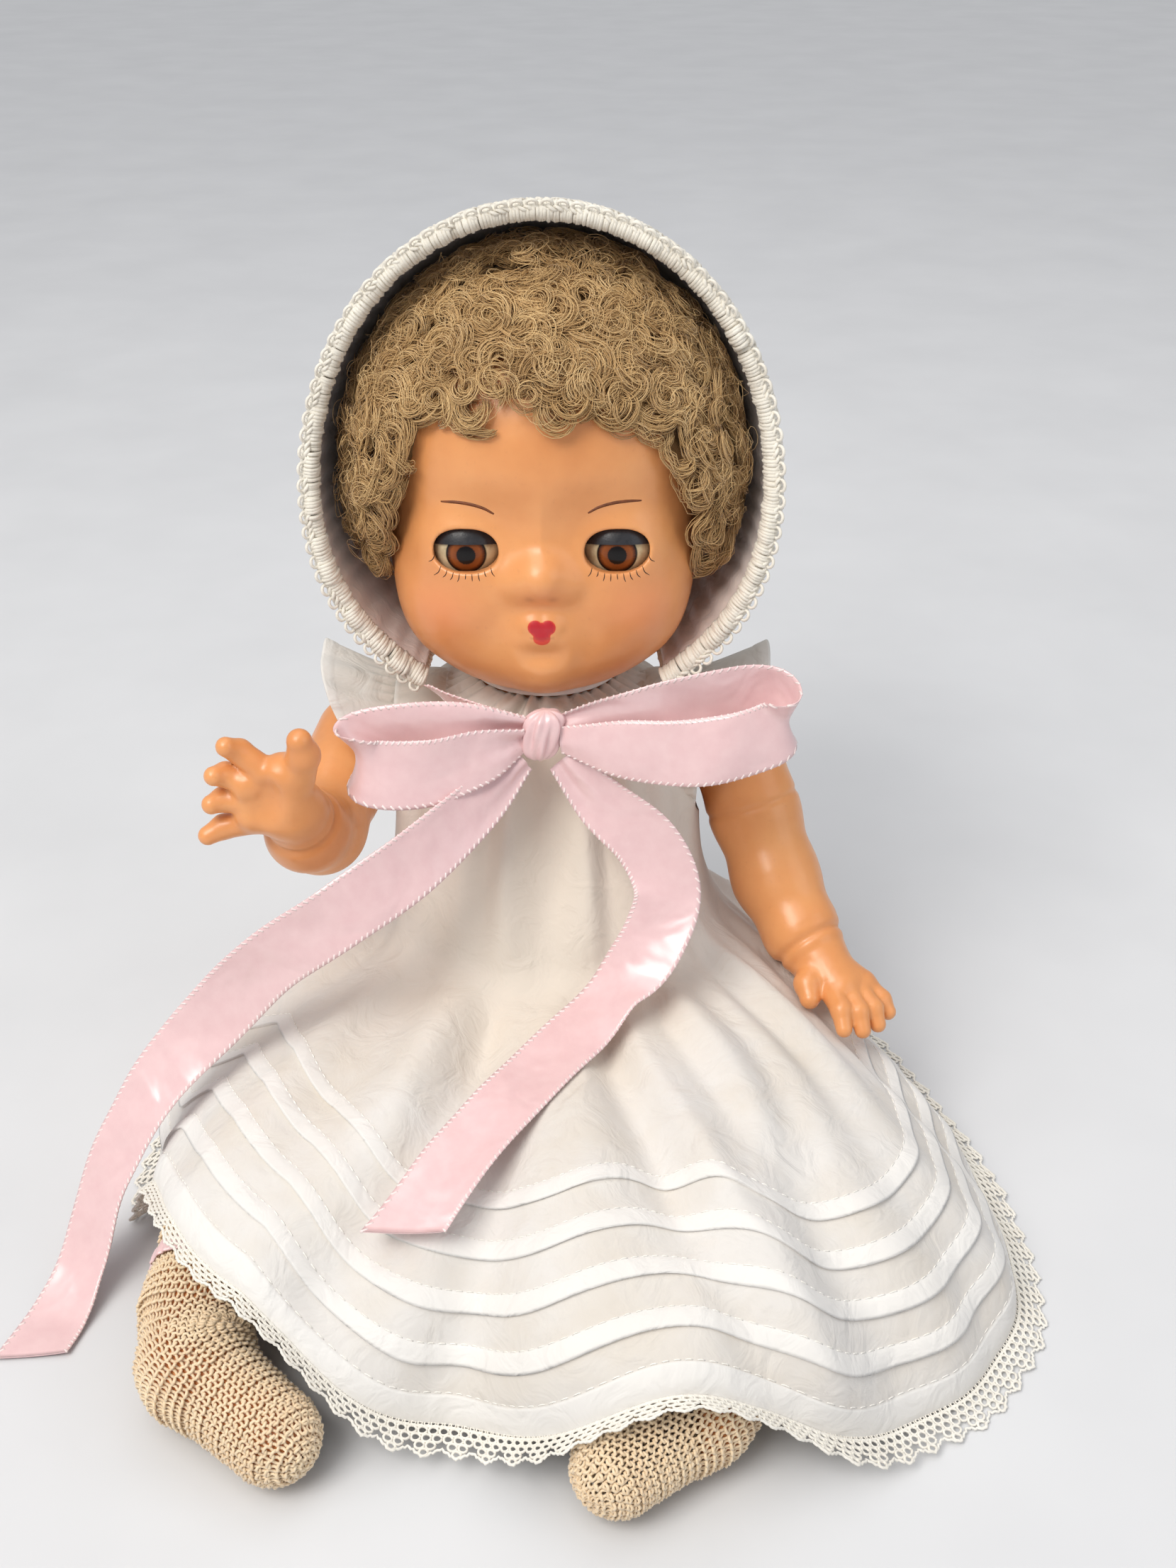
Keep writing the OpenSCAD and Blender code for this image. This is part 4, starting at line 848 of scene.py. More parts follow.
# the next-to-last number is each layer's painted light level: the outer layers are painted lighter
curls(1500, int(30 * q) + 4, 15, 0.72, 21, showing, 1.6, (2.3, 3.3), 1.3, 0.075, (0.20, 0.46), 0.42, "wig_curls")
curls(900, int(14 * q) + 3, 15, 0.66, 22, showing, 1.3, (3.2, 4.5), 1.2, 0.06, (0.22, 0.55), 0.62, "wig_top_curls")
curls(1500, 2, 12, 0.6, 23, showing, 1.6, (3.6, 5.6), 1.2, 0.045, (0.3, 0.9), 0.72, "wig_fuzz")

# ------------------------------------------------------------------ bonnet
def bonnet_pt(t, u, off):
    t, u, off = np.broadcast_arrays(np.asarray(t, float), np.asarray(u, float), np.asarray(off, float))
    at = np.abs(t); tr, ur = np.radians(t), np.radians(u)
    rx = 34.9 + off; rz = np.where(at > 90, 36.0, 38.4) + off
    yr = -5 - 8 * sstep(at, 60, 150); yb = 39.6 + off
    su = np.maximum(0, np.sin(ur)) ** 0.86
    return np.stack([rx * np.sin(tr) * su, yr + (yb - yr) * np.cos(ur), 3 + rz * np.cos(tr) * su - 3 * np.cos(tr) * np.cos(ur)], -1)
def rim(t):
    return 104 - 9 * sstep(np.abs(t), 90, 145)
T0 = 147.5

def twisted(tb, P, r, amp, pitch, plies=2, sides=5, shade=0.0, phase=0.0, flat=1.0):
    """Plies of yarn twisted round the path P."""
    seg = np.linalg.norm(np.diff(P, axis=0), axis=1)
    l = np.concatenate([[0], np.cumsum(seg)])
    n = max(8, int(l[-1] / (pitch / 7)))
    s = np.linspace(0, l[-1], n)
    Q = np.stack([np.interp(s, l, P[:, k]) for k in range(3)], -1)
    T, A, B = frames(Q)
    out = []
    for k in range(plies):
        th = 2 * math.pi * (s / pitch + k / plies) + phase
        out.append(Q + A * (amp * np.cos(th))[:, None] + B * (amp * flat * np.sin(th))[:, None])
    tb.add_many(to_row(np.stack(out).reshape(-1, 3)).reshape(plies, n, 3), r, sides, np.full(plies, shade))

def off_at(u):
    return np.interp(u, [14, 78, 104], [0.5, 0.8, 1.5])

crown = Tubes()
rows = np.linspace(15.5, 77, 15)
yr_ = 0.34
for i, u0 in enumerate(rows):
    t = np.linspace(-T0, T0, 240)
    twisted(crown, bonnet_pt(t, u0 + 0.25 * np.sin(np.radians(t) * 40 + i), off_at(u0) + 0.15), yr_, 0.34, 2.3, shade=0.0, phase=i)
for i in range(len(rows) - 1):
    ua, ub = rows[i], rows[i + 1]
    circ = 2 * math.pi * 37 * math.sin(math.radians(ub)) ** 0.86 * (2 * T0 / 360)
    n = max(12, int(circ / 1.75))
    tc = np.linspace(-T0, T0, n) + (0.5 * (i % 2)) * 2 * T0 / n
    v = np.linspace(0, 1, 7)
    for k in (-1, 1):
        tt = tc[:, None] + k * (0.36 * 2 * T0 / n) * np.cos(v * math.pi)[None] * 0.9
        uu = ua + (ub - ua) * v[None] + 0 * tt
        P = bonnet_pt(np.clip(tt, -T0, T0), uu, off_at(uu) + 0.12 + k * 0.16 * np.sin(v * math.pi))
        crown.add_many(to_row(P.reshape(-1, 3)).reshape(P.shape), 0.29, 4, np.full(n, 0.18))
cr = crown.obj("bonnet_crown_crochet", CROCHET)
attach(cr, "head"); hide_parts("bonnet_crown")

brim = Tubes()
t = np.linspace(-T0, T0, 300)
for frac, rad_, amp_ in ((0.02, 0.4, 0.4), (0.30, 0.4, 0.42), (0.62, 0.40, 0.42)):
    u0 = 78.4 + (rim(t) - 78.4) * frac
    twisted(brim, bonnet_pt(t, u0, off_at(u0) + 0.3), rad_, amp_, 2.5, phase=frac * 9)
for j, (fa, fb, spread, n) in enumerate(((0.02, 0.30, 0.1, 104), (0.30, 0.62, 1.0, 104), (0.62, 0.97, 1.0, 108))):
    tc = np.linspace(-T0, T0, n)
    v = np.linspace(0, 1, 8)
    grp = np.round(np.arange(n) / 4.0) * 4.0                   # four posts share each foot of a shell
    foot = np.interp(grp, np.arange(n), tc)
    if spread < 0.5:
        foot = tc
    for k in (-1, 1):
        tt = foot[:, None] * (1 - v[None] ** 0.8) + tc[:, None] * v[None] ** 0.8 + k * 0.42 * np.sin(v * 2 * math.pi + k)[None]
        ff = fa + (fb - fa) * v[None] + 0 * tt
        uu = 78.4 + (rim(tt) - 78.4) * ff
        P = bonnet_pt(np.clip(tt, -T0, T0), uu, off_at(uu) + 0.25 + 0.5 * np.sin(v * math.pi)[None] * (0.4 + 0.6 * spread) + k * 0.16)
        brim.add_many(to_row(P.reshape(-1, 3)).reshape(P.shape), 0.33, 5, np.full(n, 0.12))
# the thick twisted edge and its picots
wave = 0.8 * np.sin(np.radians(t) * 32)
edge = bonnet_pt(t, rim(t) - 0.6 + 0.8 * np.abs(np.sin(np.radians(t) * 27)), 1.6)
twisted(brim, edge, 0.30, 0.30, 2.2)
n = 92
tc = np.linspace(-T0 + 0.8, T0 - 0.8, n)
pr = np.random.default_rng(77)
v = np.linspace(0, 1, 9)
arc = np.radians(-118 + 236 * v)[None]
big = 1 + 0.16 * pr.normal(size=(n, 1))
for k in np.linspace(-1, 1, 6):
    fan = (0.35 + 0.65 * np.cos(arc / 2)) * 1.25 * k * (2 * T0 / n) * 0.5
    tt = tc[:, None] + fan + 0.12 * pr.normal(size=(n, 1))
    uu = rim(tt) - 2.3 + (2.6 + 0.25 * math.cos(k * 1.4)) * big * np.cos(arc)
    P = bonnet_pt(np.clip(tt, -T0, T0), uu, 0.95 + (1.25 + 0.1 * pr.normal(size=(n, 1))) * np.sin(arc) + 0 * tt)
    brim.add_many(to_row(P.reshape(-1, 3)).reshape(P.shape), 0.34, 5, np.full(n, 0.10))
inner = bonnet_pt(t, rim(t) - 2.0, 0.6)
twisted(brim, inner, 0.34, 0.34, 2.4, phase=1.0)
n = 84
tc = np.linspace(-T0 + 1, T0 - 1, n)
v = np.linspace(0, 1, 15)
lp = 2 * math.pi * v
tt = tc[:, None] + 1.25 * np.sin(lp)[None]
uu = rim(tt) - 0.4 + 0.9 * (1 - np.cos(lp))[None] * 0.6
P = bonnet_pt(np.clip(tt, -T0, T0), uu, 1.6 + 0.75 * (1 - np.cos(lp))[None] * 0.8 + 0 * tt)
brim.add_many(to_row(P.reshape(-1, 3)).reshape(P.shape), 0.26, 5, np.full(n, 0.0))
for s in (-1, 1):                                             # the short ends under the chin
    uu = np.linspace(79, rim(T0) - 0.6, 40)
    twisted(brim, bonnet_pt(np.full(40, s * T0), uu, off_at(uu) + 0.6), 0.5, 0.5, 2.8)
    uu = np.linspace(15, 79, 90)
    twisted(brim, bonnet_pt(np.full(90, s * T0), uu, off_at(uu) + 0.4), 0.45, 0.45, 2.6)
br = brim.obj("bonnet_brim_crochet", CROCHET)
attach(br, "head"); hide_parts("bonnet_brim")

m_, n_ = 60, 420
tt = np.linspace(-T0 + 0.6, T0 - 0.6, n_)[None, :] + np.zeros((m_, 1))
vv = np.linspace(0, 1, m_)[:, None] + 0 * tt
uu = 14.5 + (rim(tt) - 3.0 - 14.5) * vv
puck = 0.22 * np.sin(np.radians(tt) * 62 + 2 * np.sin(np.radians(tt) * 7)) * sstep(vv, 0.6, 0.8)
V = bonnet_pt(tt, uu, np.interp(uu, [14, 70, 80, 101], [-0.5, -0.45, -0.3, 0.05]) + puck)
ln = build("bonnet_lining", to_row(V.reshape(-1, 3)), grid_faces(m_, n_), LINING,
           {"uv": np.stack([np.radians(tt) * 37, vv * 60, 0 * tt], -1).reshape(-1, 3)})
finish_mesh(ln, 0.00018)
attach(ln, "head"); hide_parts("bonnet_lining_ribbon")

# rosette that closes the back of the crown
ros = Tubes()
RC = np.array([0, 38.9, 3.0])
def disc(r, th, h=0.0):
    return RC + np.stack([r * np.sin(th), 0 * r + h, r * np.cos(th)], -1)
for r0 in (1.0, 3.0, 5.3, 7.7):
    th = np.linspace(0, 2 * math.pi, 90)
    twisted(ros, disc(np.full(90, r0), th, 0.35), 0.33, 0.33, 2.2)
for ra, rb, n in ((1.0, 3.0, 10), (3.0, 5.3, 18), (5.3, 7.7, 28)):
    th = np.arange(n) * 2 * math.pi / n
    v = np.linspace(0, 1, 6)
    for k in (-1, 1):
        P = disc(ra + (rb - ra) * v[None] + 0 * th[:, None], th[:, None] + k * 0.35 / ((ra + rb) / 2) * np.cos(v * math.pi)[None], 0.35)
        ros.add_many(to_row(P.reshape(-1, 3)).reshape(P.shape), 0.28, 4, np.full(n, 0.15))
ro = ros.obj("bonnet_rosette_crochet", CROCHET)
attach(ro, "head"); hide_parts("bonnet_back_rosette")

# ------------------------------------------------------------------ ribbons
RIB_PTS = []
def ribbon(name, path, node, body="torso", face=1, k=14, na=17, seed=0, curl=0.25, ripple=0.14, shear=0.0, half=1.0, puck=(), ride=True):
    pts = np.array([p[0] for p in path], float); dirs = np.array([p[1] for p in path], float); hw = np.array([[p[2]] for p in path], float)
    P, W, H = spline(pts, k), unit(spline(unit(dirs), k)), spline(hw, k)[:, 0] * half
    T = unit(np.gradient(P, axis=0)); Nn = unit(np.cross(T, W)); S = unit(np.cross(Nn, T))
    l = np.concatenate([[0], np.cumsum(np.linalg.norm(np.diff(P, axis=0), axis=1))])
    c = np.linspace(-1, 1, na)
    r = np.random.default_rng(seed + 40)
    w1 = sum(np.sin(l[:, None] * r.uniform(0.12, 0.5) + c[None] * r.uniform(-2.5, 2.5) + r.uniform(0, 6)) for _ in range(5)) / 2.2
    lift = curl * (c[None] ** 2 - 0.33) + ripple * w1
    for (l0, wid, amp, freq) in puck:                          # gathers running out of the knot
        env = np.exp(-((l - l0) / wid) ** 2)[:, None]
        lift = lift + amp * env * np.sin(c[None] * freq + 0.8 + 0.06 * l[:, None])
    if shear:
        e = sstep(l, l[-1] - 9, l[-1])[:, None]
        P2 = P[:, None] + S[:, None] * (c[None] * H[:, None])[..., None] + T[:, None] * (shear * c[None] * e)[..., None]
    else:
        P2 = P[:, None] + S[:, None] * (c[None] * H[:, None])[..., None]
    mid = P2 + Nn[:, None] * lift[..., None]
    if body == "torso":
        RIB_PTS.append(mid[::2, ::3].reshape(-1, 3))
    th = 0.14 * (1 - 0.35 * (np.abs(c) > 0.97))
    up, dn = mid + Nn[:, None] * th[None, :, None], mid - Nn[:, None] * th[None, :, None]
    m = len(P)
    ring = np.concatenate([up, dn[:, ::-1]], 1)
    V = ring.reshape(-1, 3)
    cc = np.concatenate([c, c[::-1]])[None] + np.zeros((m, 1))
    ll = l[:, None] + np.zeros((1, 2 * na))
    bk = np.concatenate([np.full(na, 0.0 if face > 0 else 1.0), np.full(na, 1.0 if face > 0 else 0.0)])[None] + np.zeros((m, 1))
    F = grid_faces(m, 2 * na, True)
    cap0 = np.array([[i, i + 1, 2 * na - 2 - i, 2 * na - 1 - i] for i in range(na - 1)], np.int32)
    cap1 = cap0[:, ::-1] + (m - 1) * 2 * na
    ob = build(name, V, [F, cap0, cap1], SATIN, {"uv": np.stack([cc, ll, bk], -1).reshape(-1, 3)})
    tb = Tubes()
    n = int(l[-1] / 1.05)
    s = (np.arange(n) + 0.5) * l[-1] / n
    for sd in (-1, 1):
        q = np.linspace(0, 1, 4)
        cs = sd * (0.88 + 0.115 * q)[None] + 0 * s[:, None]
        ls = np.clip(s[:, None] + 0.55 * q[None], 0, l[-1])
        fi = (cs + 1) / 2 * (na - 1); fl = np.interp(ls, l, np.arange(m))
        i0 = np.clip(fl.astype(int), 0, m - 2); j0 = np.clip(fi.astype(int), 0, na - 2)
        a_, b_ = (fl - i0)[..., None], (fi - j0)[..., None]
        Q = (mid[i0, j0] * (1 - a_) * (1 - b_) + mid[i0 + 1, j0] * a_ * (1 - b_) + mid[i0, j0 + 1] * (1 - a_) * b_ + mid[i0 + 1, j0 + 1] * a_ * b_)
        tb.add_many(Q, 0.215, 5, np.zeros(n))
    ed = tb.obj(name + "_edge", EDGE)
    if ride:
        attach(ob, body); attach(ed, body)
    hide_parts(node)
    return ob, ed, l[-1]

EDGE = yarn_material("ribbon_edge", (0.93, 0.80, 0.775), (0.80, 0.56, 0.55), 0.38, sheen=0.3)
TIE = [[[17, 0.4, 78.5], [0.2, -0.75, 0.6], 3.2], [[14.5, -3.2, 78.4], [0.1, -0.5, 0.85], 3.4], [[9.6, -6.8, 77.8], [0, -0.2, 1], 3.2], [[4.6, -8.2, 77.2], [0, 0, 1], 2.4]]
LOOP_L = [[[2.6, -9.8, 77.4], [0, 0, 1], 2.4], [[13, -12.8, 80.8], [0, 0, 1], 4.6], [[25, -13, 84], [0.1, 0, 1], 5.2], [[34, -13, 84.6], [0.25, 0, 1], 5.2], [[37, -16, 82.8], [0.2, 0.1, 1], 5.2],
          [[33.5, -18, 80.4], [0.1, 0.2, 1], 5.2], [[23, -18.4, 78], [0, 0.2, 1], 5.2], [[12, -15.6, 77], [0, 0.2, 1], 4.6], [[2.8, -11.4, 76.4], [0, 0, 1], 2.2]]
LOOP_R = [[[-2.6, -9.8, 77.4], [0, 0, 1], 2.4], [[-10, -12.8, 78.6], [0, 0, 1], 4.4], [[-18.4, -13.4, 78.6], [0, 0.1, 1], 5.2], [[-25.6, -14, 77.8], [-0.1, 0.1, 1], 5.2], [[-28.4, -15.6, 76.6], [-0.1, 0.2, 1], 5.2],
          [[-25.6, -18.6, 74.8], [0, 0.3, 1], 5.2], [[-17, -18.4, 74.6], [0, 0.3, 1], 5.2], [[-9.6, -15.2, 75.6], [0, 0.2, 1], 4.4], [[-2.8, -11.4, 76.4], [0, 0, 1], 2.2]]
TAIL_L = [[[3, -11.4, 73.2], [0.68, 0, 0.73], 2.4], [[9, -14, 67], [0.68, 0, 0.73], 4.4], [[16, -16, 61], [0.82, 0, 0.56], 5.2], [[19.4, -18.6, 53.5], [1, 0, -0.05], 5.2], [[17, -22.4, 46.4], [1, -0.1, 0.3], 5.2],
          [[11.5, -26, 39.8], [0.9, -0.2, 0.4], 5.2], [[4.8, -33, 36], [0.9, -0.4, 0], 5.2], [[-3, -44, 35.2], [0.8, -0.55, 0], 5.2], [[-11, -56, 33.4], [0.8, -0.55, 0], 5.2], [[-18.6, -68, 29.6], [0.8, -0.55, -0.1], 5.2]]
TAIL_R = [[[-3, -11.4, 73.2], [0.5, 0.1, -0.85], 2.4], [[-10, -17, 68], [0.5, 0, -0.85], 4.4], [[-19.5, -25, 62.6], [0.5, -0.1, -0.85], 5.2], [[-30.5, -30.4, 56.6], [0.55, -0.1, -0.8], 5.2], [[-41.5, -31, 48.6], [0.62, -0.1, -0.75], 5.2],
          [[-50, -31.6, 39.6], [0.75, -0.2, -0.5], 5.2], [[-60, -36.6, 29.4], [0.88, -0.35, -0.1], 4.6], [[-67.4, -42.6, 17], [0.85, -0.5, 0], 4.4], [[-71.2, -49, 5.4], [0.85, -0.5, 0], 4.4], [[-73.6, -56, 1.1], [0.88, -0.46, 0], 4.8], [[-76, -64, 0.7], [0.92, -0.36, 0], 5]]
ribbon("bow_loop_left_satin", LOOP_L, "bow_loop_left", face=-1, seed=1, curl=0.5, ripple=0.3, puck=((0, 11, 0.5, 5.2), (200, 1, 0, 1), (92, 12, 0.5, 5.6)))
ribbon("bow_loop_right_satin", LOOP_R, "bow_loop_right", face=1, seed=2, curl=0.5, ripple=0.3, puck=((0, 10, 0.5, 5.0), (66, 11, 0.55, 5.4)))
ribbon("ribbon_tail_left_satin", TAIL_L, "ribbon_tail_left", face=-1, seed=3, curl=0.35, ripple=0.22, shear=-3.0, puck=((0, 9, 0.45, 5.0),))
ribbon("ribbon_tail_right_satin", TAIL_R, "ribbon_tail_right", face=-1, seed=4, curl=0.35, ripple=0.14, shear=-2.0, puck=((0, 9, 0.45, 5.0),))
mirror = lambda path: [[[-p[0], p[1], p[2]], [-q[0], q[1], q[2]], h] for p, q, h in path]
t1, e1, _ = ribbon("bonnet_tie_left", TIE, "bonnet_ties", body="tie", face=1, seed=5, half=0.95, ripple=0.1, puck=((24, 8, 0.3, 4.5),), ride=False)
t2, e2, _ = ribbon("bonnet_tie_right", mirror(TIE), "bonnet_ties", body="tie", face=1, seed=6, half=0.95, ripple=0.1, puck=((24, 8, 0.3, 4.5),), ride=False)
for o, s in ((t1, 1), (e1, 1), (t2, -1), (e2, -1)):
    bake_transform(o)

# the knot: a puffed wrap with pleats pinched above and below
KC = np.array([0, -10.2, 76.8])
m_, n_ = 60, 96
ph = np.linspace(-1, 1, m_)[:, None]; th = (np.arange(n_) * 2 * math.pi / n_)[None]
prof = np.sqrt(np.maximum(0, 1 - np.abs(ph) ** 3.2)) * (1 + 0.10 * ph)
pl = 0.30 * np.sin(7 * th + 1.6 * ph + 0.7) + 0.18 * np.sin(12 * th - 2 * ph)
V = np.stack([KC[0] + (3.2 + pl) * prof * np.cos(th) + 0.5 * ph, KC[1] + (2.5 + 0.8 * pl) * prof * np.sin(th), KC[2] + 4.3 * ph + 0.5 * np.cos(th) * (1 - ph ** 2) + 0 * th], -1)
uvk = np.stack([0.7 * np.sin(th) + 0 * ph, 4.5 * ph + 0 * th, 0 * ph + 0 * th], -1)
kn = build("bow_knot_satin", V.reshape(-1, 3), [grid_faces(m_, n_, True), np.array([np.arange(n_)[::-1]]), np.array([np.arange(n_)]) + (m_ - 1) * n_], SATIN, {"uv": uvk.reshape(-1, 3)})
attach(kn, "torso"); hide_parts("bow_knot")

# ------------------------------------------------------------------ dress
BROWS_D = np.array([[75.4, 12.4, 12, 12, 17.4, 2], [74.2, 15.4, 13.2, 13.2, 17.2, 2], [71.4, 20.4, 14.6, 14.4, 16.6, 2.1], [66.6, 24.6, 16.4, 15.8, 15.8, 2.2],
                    [60, 26.3, 18.6, 17, 14.4, 2.3], [51, 26, 21.4, 19, 12, 2.3], [42, 27, 24.4, 21.4, 9.6, 2.2], [34.6, 29.4, 26, 23.6, 7.6, 2.1]])
def ring_of(row, a):
    z, rx, fr, bk, cy, pw = row
    c, s, k = np.cos(a), np.sin(a), 2 / pw
    return np.stack([rx * np.sign(c) * np.abs(c) ** k, cy + np.where(s < 0, fr, bk) * np.sign(s) * np.abs(s) ** k, z + 0 * a], -1)
def foot_lift(x, y):
    return np.where(y > -30, 0, np.minimum(23, 25 * bell(x, -47, 21) + 19 * bell(x, 19, 20)) * sstep(-y, 30, 46))
def hem_xy(a):
    b = (np.degrees(a) + 180) % 360 - 180
    k, m = 14 * bell(b, -30, 26), 9 * bell(b, -102, 16)
    return np.stack([1 + (65 + k - m) * np.cos(a), -20 + (np.where(np.sin(a) < 0, 70, 60) + k - m) * np.sin(a)], -1)
def skirt_pt(a, s):
    w, h = ring_of(BROWS_D[7], a)[..., :2], hem_xy(a)
    t = s ** 0.9
    xy = w + (h - w) * t[..., None]
    z1 = 0.5 + foot_lift(h[..., 0], h[..., 1])
    fl = np.minimum(1, np.maximum(0, np.cos(a)) ** 1.5 * sstep(np.sin(a), -0.75, -0.1) + 0.35 * np.maximum(0, -np.cos(a)) ** 2)
    g1, g2 = np.maximum(0, 1 - t ** 3.1) ** 0.55, (1 - t) ** 0.8
    return np.concatenate([xy, (z1 + (34.4 - z1) * (g1 + (g2 - g1) * fl))[..., None]], -1)

na = 520
A = np.arange(na) * 2 * math.pi / na
S0 = np.stack([ring_of(r, A) for r in spline(BROWS_D, 8)[:-2]] + [skirt_pt(A, np.full(na, s)) for s in 1 - (1 - np.linspace(0.02, 1, 90)) ** 1.5])
seg = np.linalg.norm(np.diff(S0, axis=0), axis=-1)
Ls = np.concatenate([np.zeros((1, na)), np.cumsum(seg, 0)])
Ltot = Ls[-1]
TUCK = (9.8, 17.4, 25.0, 32.6)
TD = 2.5
Dr = [0, 0.12, 0.7, 1.6, 2.6, 3.6, 4.4, 4.75, 4.95, 5.3]
for e in TUCK:
    Dr += [e - 1.1, e - 0.4, e - 0.06, e + 0.1, e + 0.45, e + 1.1, e + 1.8, e + 2.3, e + 2.5, e + 2.75, e + 3.5]
allD = np.arange(0, 40, 0.9)
Dr = np.array(sorted(Dr + [d for d in allD if np.min(np.abs(np.array(Dr) - d)) > 0.45]))
Dr = Dr[Dr < 39]
nu = 130
rowsl = []                                                     # arc length of every row, per column
for i in range(nu):
    rowsl.append((Ltot - 39.2) * i / (nu - 1))
Ln = np.concatenate([np.stack(rowsl), Ltot[None] - Dr[::-1, None]])
S = np.stack([np.stack([np.interp(Ln[:, j], Ls[:, j], S0[:, j, k]) for k in range(3)], -1) for j in range(na)], 1)
for _ in range(10):                                            # ease the turn from the front into the lap
    Sm = S.copy(); Sm[1:nu] = 0.25 * S[:nu - 1] + 0.5 * S[1:nu] + 0.25 * S[2:nu + 1]
    S = Sm
M = len(S)
D = Ltot[None] - Ln
L_ = Ln
a2 = A[None] + 0 * Ln
dl = np.gradient(S, axis=0); da = (np.roll(S, -1, 1) - np.roll(S, 1, 1))
nrm = unit(np.cross(dl, da))
adeg = np.degrees(a2) % 360
front = bell((adeg - 270 + 180) % 360 - 180, 0, 60)

g1, g2, g3, g4 = ring_noise(1, 30, 44), ring_noise(2, 13, 21), ring_noise(3, 7, 13), ring_noise(4, 20, 32)
ad = (adeg - 270 + 180) % 360 - 180                             # degrees from the middle of the front
fold = 0.42 * np.exp(-(L_ / 9) ** 1.4) * g1(a2)
fold = fold + 0.50 * bell(L_, 15, 14) * g2(a2 + 0.04 * np.sin(L_ / 7)) * (1 - 0.3 * front)
# the long pleats that fall from the neck down the middle
for c0, amp, wid, dr in ((-8, 1.5, 3.6, -0.12), (8.5, 1.4, 3.4, 0.14), (-23, 1.0, 4.4, -0.16), (24, 1.1, 4.4, 0.18), (0.5, -0.8, 3.0, 0.0), (-14, -0.35, 3.5, -0.12), (15, -0.35, 3.5, 0.14),
                         (36, 0.5, 5, 0.2), (-36, 0.5, 5, -0.2)):
    fold = fold + 1.75 * amp * bell(ad, c0 + dr * L_, wid * (1 + L_ / 60)) * sstep(L_, 0, 4) * (1 - sstep(L_, 26, 62))
tw = (a2 + 0.05 * np.sin(L_ / 11 + 2 * a2))
lap = sstep(L_, 38, 62)
fold = fold + lap * (1.0 * g3(tw) + 0.5 * g4(tw)) * (0.30 + 0.70 * sstep(D, 0, 14))
# a few sharp creases that bend the tucks
for c0, amp, wid, dr in ((-28, -3.0, 5.5, 0.25), (-37, 1.6, 6.0, 0.25), (24, -2.2, 4.5, -0.25), (31, 1.9, 4.0, -0.22), (41, -1.6, 4.5, -0.2), (2, 1.2, 9.0, 0.1), (-12, -1.0, 5.0, 0.15), (58, -1.2, 5.0, 0), (-62, -1.3, 6.0, 0), (84, 1.2, 6, 0), (-88, 1.3, 7, 0),
                         (125, 1.3, 7, 0), (-130, -1.2, 7, 0), (165, 1.2, 7, 0)):
    fold = fold + amp * bell(ad, c0 + dr * (D - 16), wid) * sstep(L_, 44, 66) * (0.22 + 0.78 * sstep(D, 0, 9))
# tucks, hem and stitching puckers
h = np.zeros_like(D); down = np.zeros_like(D); lay = np.zeros_like(D)
gt = [ring_noise(30 + i, 9, 40) for i in range(5)]
for i, e in enumerate(TUCK):
    x = D - e
    on = (x > 0.0) & (x < TD + 0.05)
    amp = 0.42 + 0.12 * gt[i](a2)
    h = h + np.where(on, 0.10 + amp * np.clip(1 - x / TD, 0, 1) ** 0.75, 0) - 0.07 * bell(x, TD + 0.05, 0.2)
    down = down + np.where((x > 0) & (x < 0.3), 0.50, 0) + np.where((x >= 0.3) & (x < 0.7), 0.30, 0)
    lay = np.maximum(lay, on * 1.0)
    h = h + 0.05 * np.sin(a2 * 190) * bell(x, TD, 0.5)
hem = D < 4.86
h = h + np.where(hem, 0.20, 0) - 0.06 * bell(D, 5.0, 0.2) + 0.05 * np.sin(a2 * 170) * bell(D, 4.9, 0.6)
lay = np.maximum(lay, hem * 1.0)
# placket down the back
bk = (adeg - 90 + 180) % 360 - 180
h = h + np.where((bk > -6.5) & (bk < 4.5) & (L_ < 42), 0.35, 0.0) * sstep(42 - L_, 0, 3)
lay = np.maximum(lay, ((bk > -6.5) & (bk < 4.5) & (L_ < 42)) * 0.7)
dn = unit(dl)
V = S + nrm * (fold + h)[..., None] + dn * down[..., None]

LEGF = [leg_field(LEG["left"], 1, 1.75), leg_field(LEG["right"], -1, 1.75)]
def pocket(p):
    """Everything that the dress lies over or under, as one field."""
    d = np.minimum(LEGF[0](p), LEGF[1](p))
    m = p[..., 0] > 22
    if m.any():
        d[m] = np.minimum(d[m], arm_left(p[m]) - 0.1)
    m = p[..., 0] < -22
    if m.any():
        d[m] = np.minimum(d[m], arm_right(p[m]) - 0.1)
    return d
Vf = V.reshape(-1, 3)
sel = np.where((Vf[:, 2] < 60))[0]
for _ in range(4):
    p = Vf[sel]
    d = pocket(p)
    bad = d < 0.35
    if not bad.any():
        break
    ii = sel[bad]
    g = unit(grad(pocket, p[bad], 0.1))
    Vf[ii] = p[bad] + g * (0.37 - d[bad])[:, None]
from mathutils.kdtree import KDTree
rp = np.concatenate(RIB_PTS)
kd = KDTree(len(rp))
for i, p in enumerate(rp):
    kd.insert(p, i)
kd.balance()
NF = nrm.reshape(-1, 3)
cand = np.where((Vf[:, 1] < 5) & (Vf[:, 2] > 0.3))[0]
lo_, hi_ = rp.min(0) - 2, rp.max(0) + 2
cand = cand[np.all((Vf[cand] > lo_) & (Vf[cand] < hi_), 1)]
for i in cand:
    q_, _, dist = kd.find(Vf[i])
    if dist < 2.6:
        s_ = float(np.dot(np.array(q_) - Vf[i], NF[i]))
        if -2.0 < s_ < 0.55:
            Vf[i] -= NF[i] * (0.55 - s_)
Vf[:, 2] = np.maximum(Vf[:, 2], 0.35)
V = Vf.reshape(V.shape)
F = grid_faces(M, na, True)[:, ::-1]
rad_ = np.hypot(Vf[:, 1] - 15.5, Vf[:, 2] - 62)
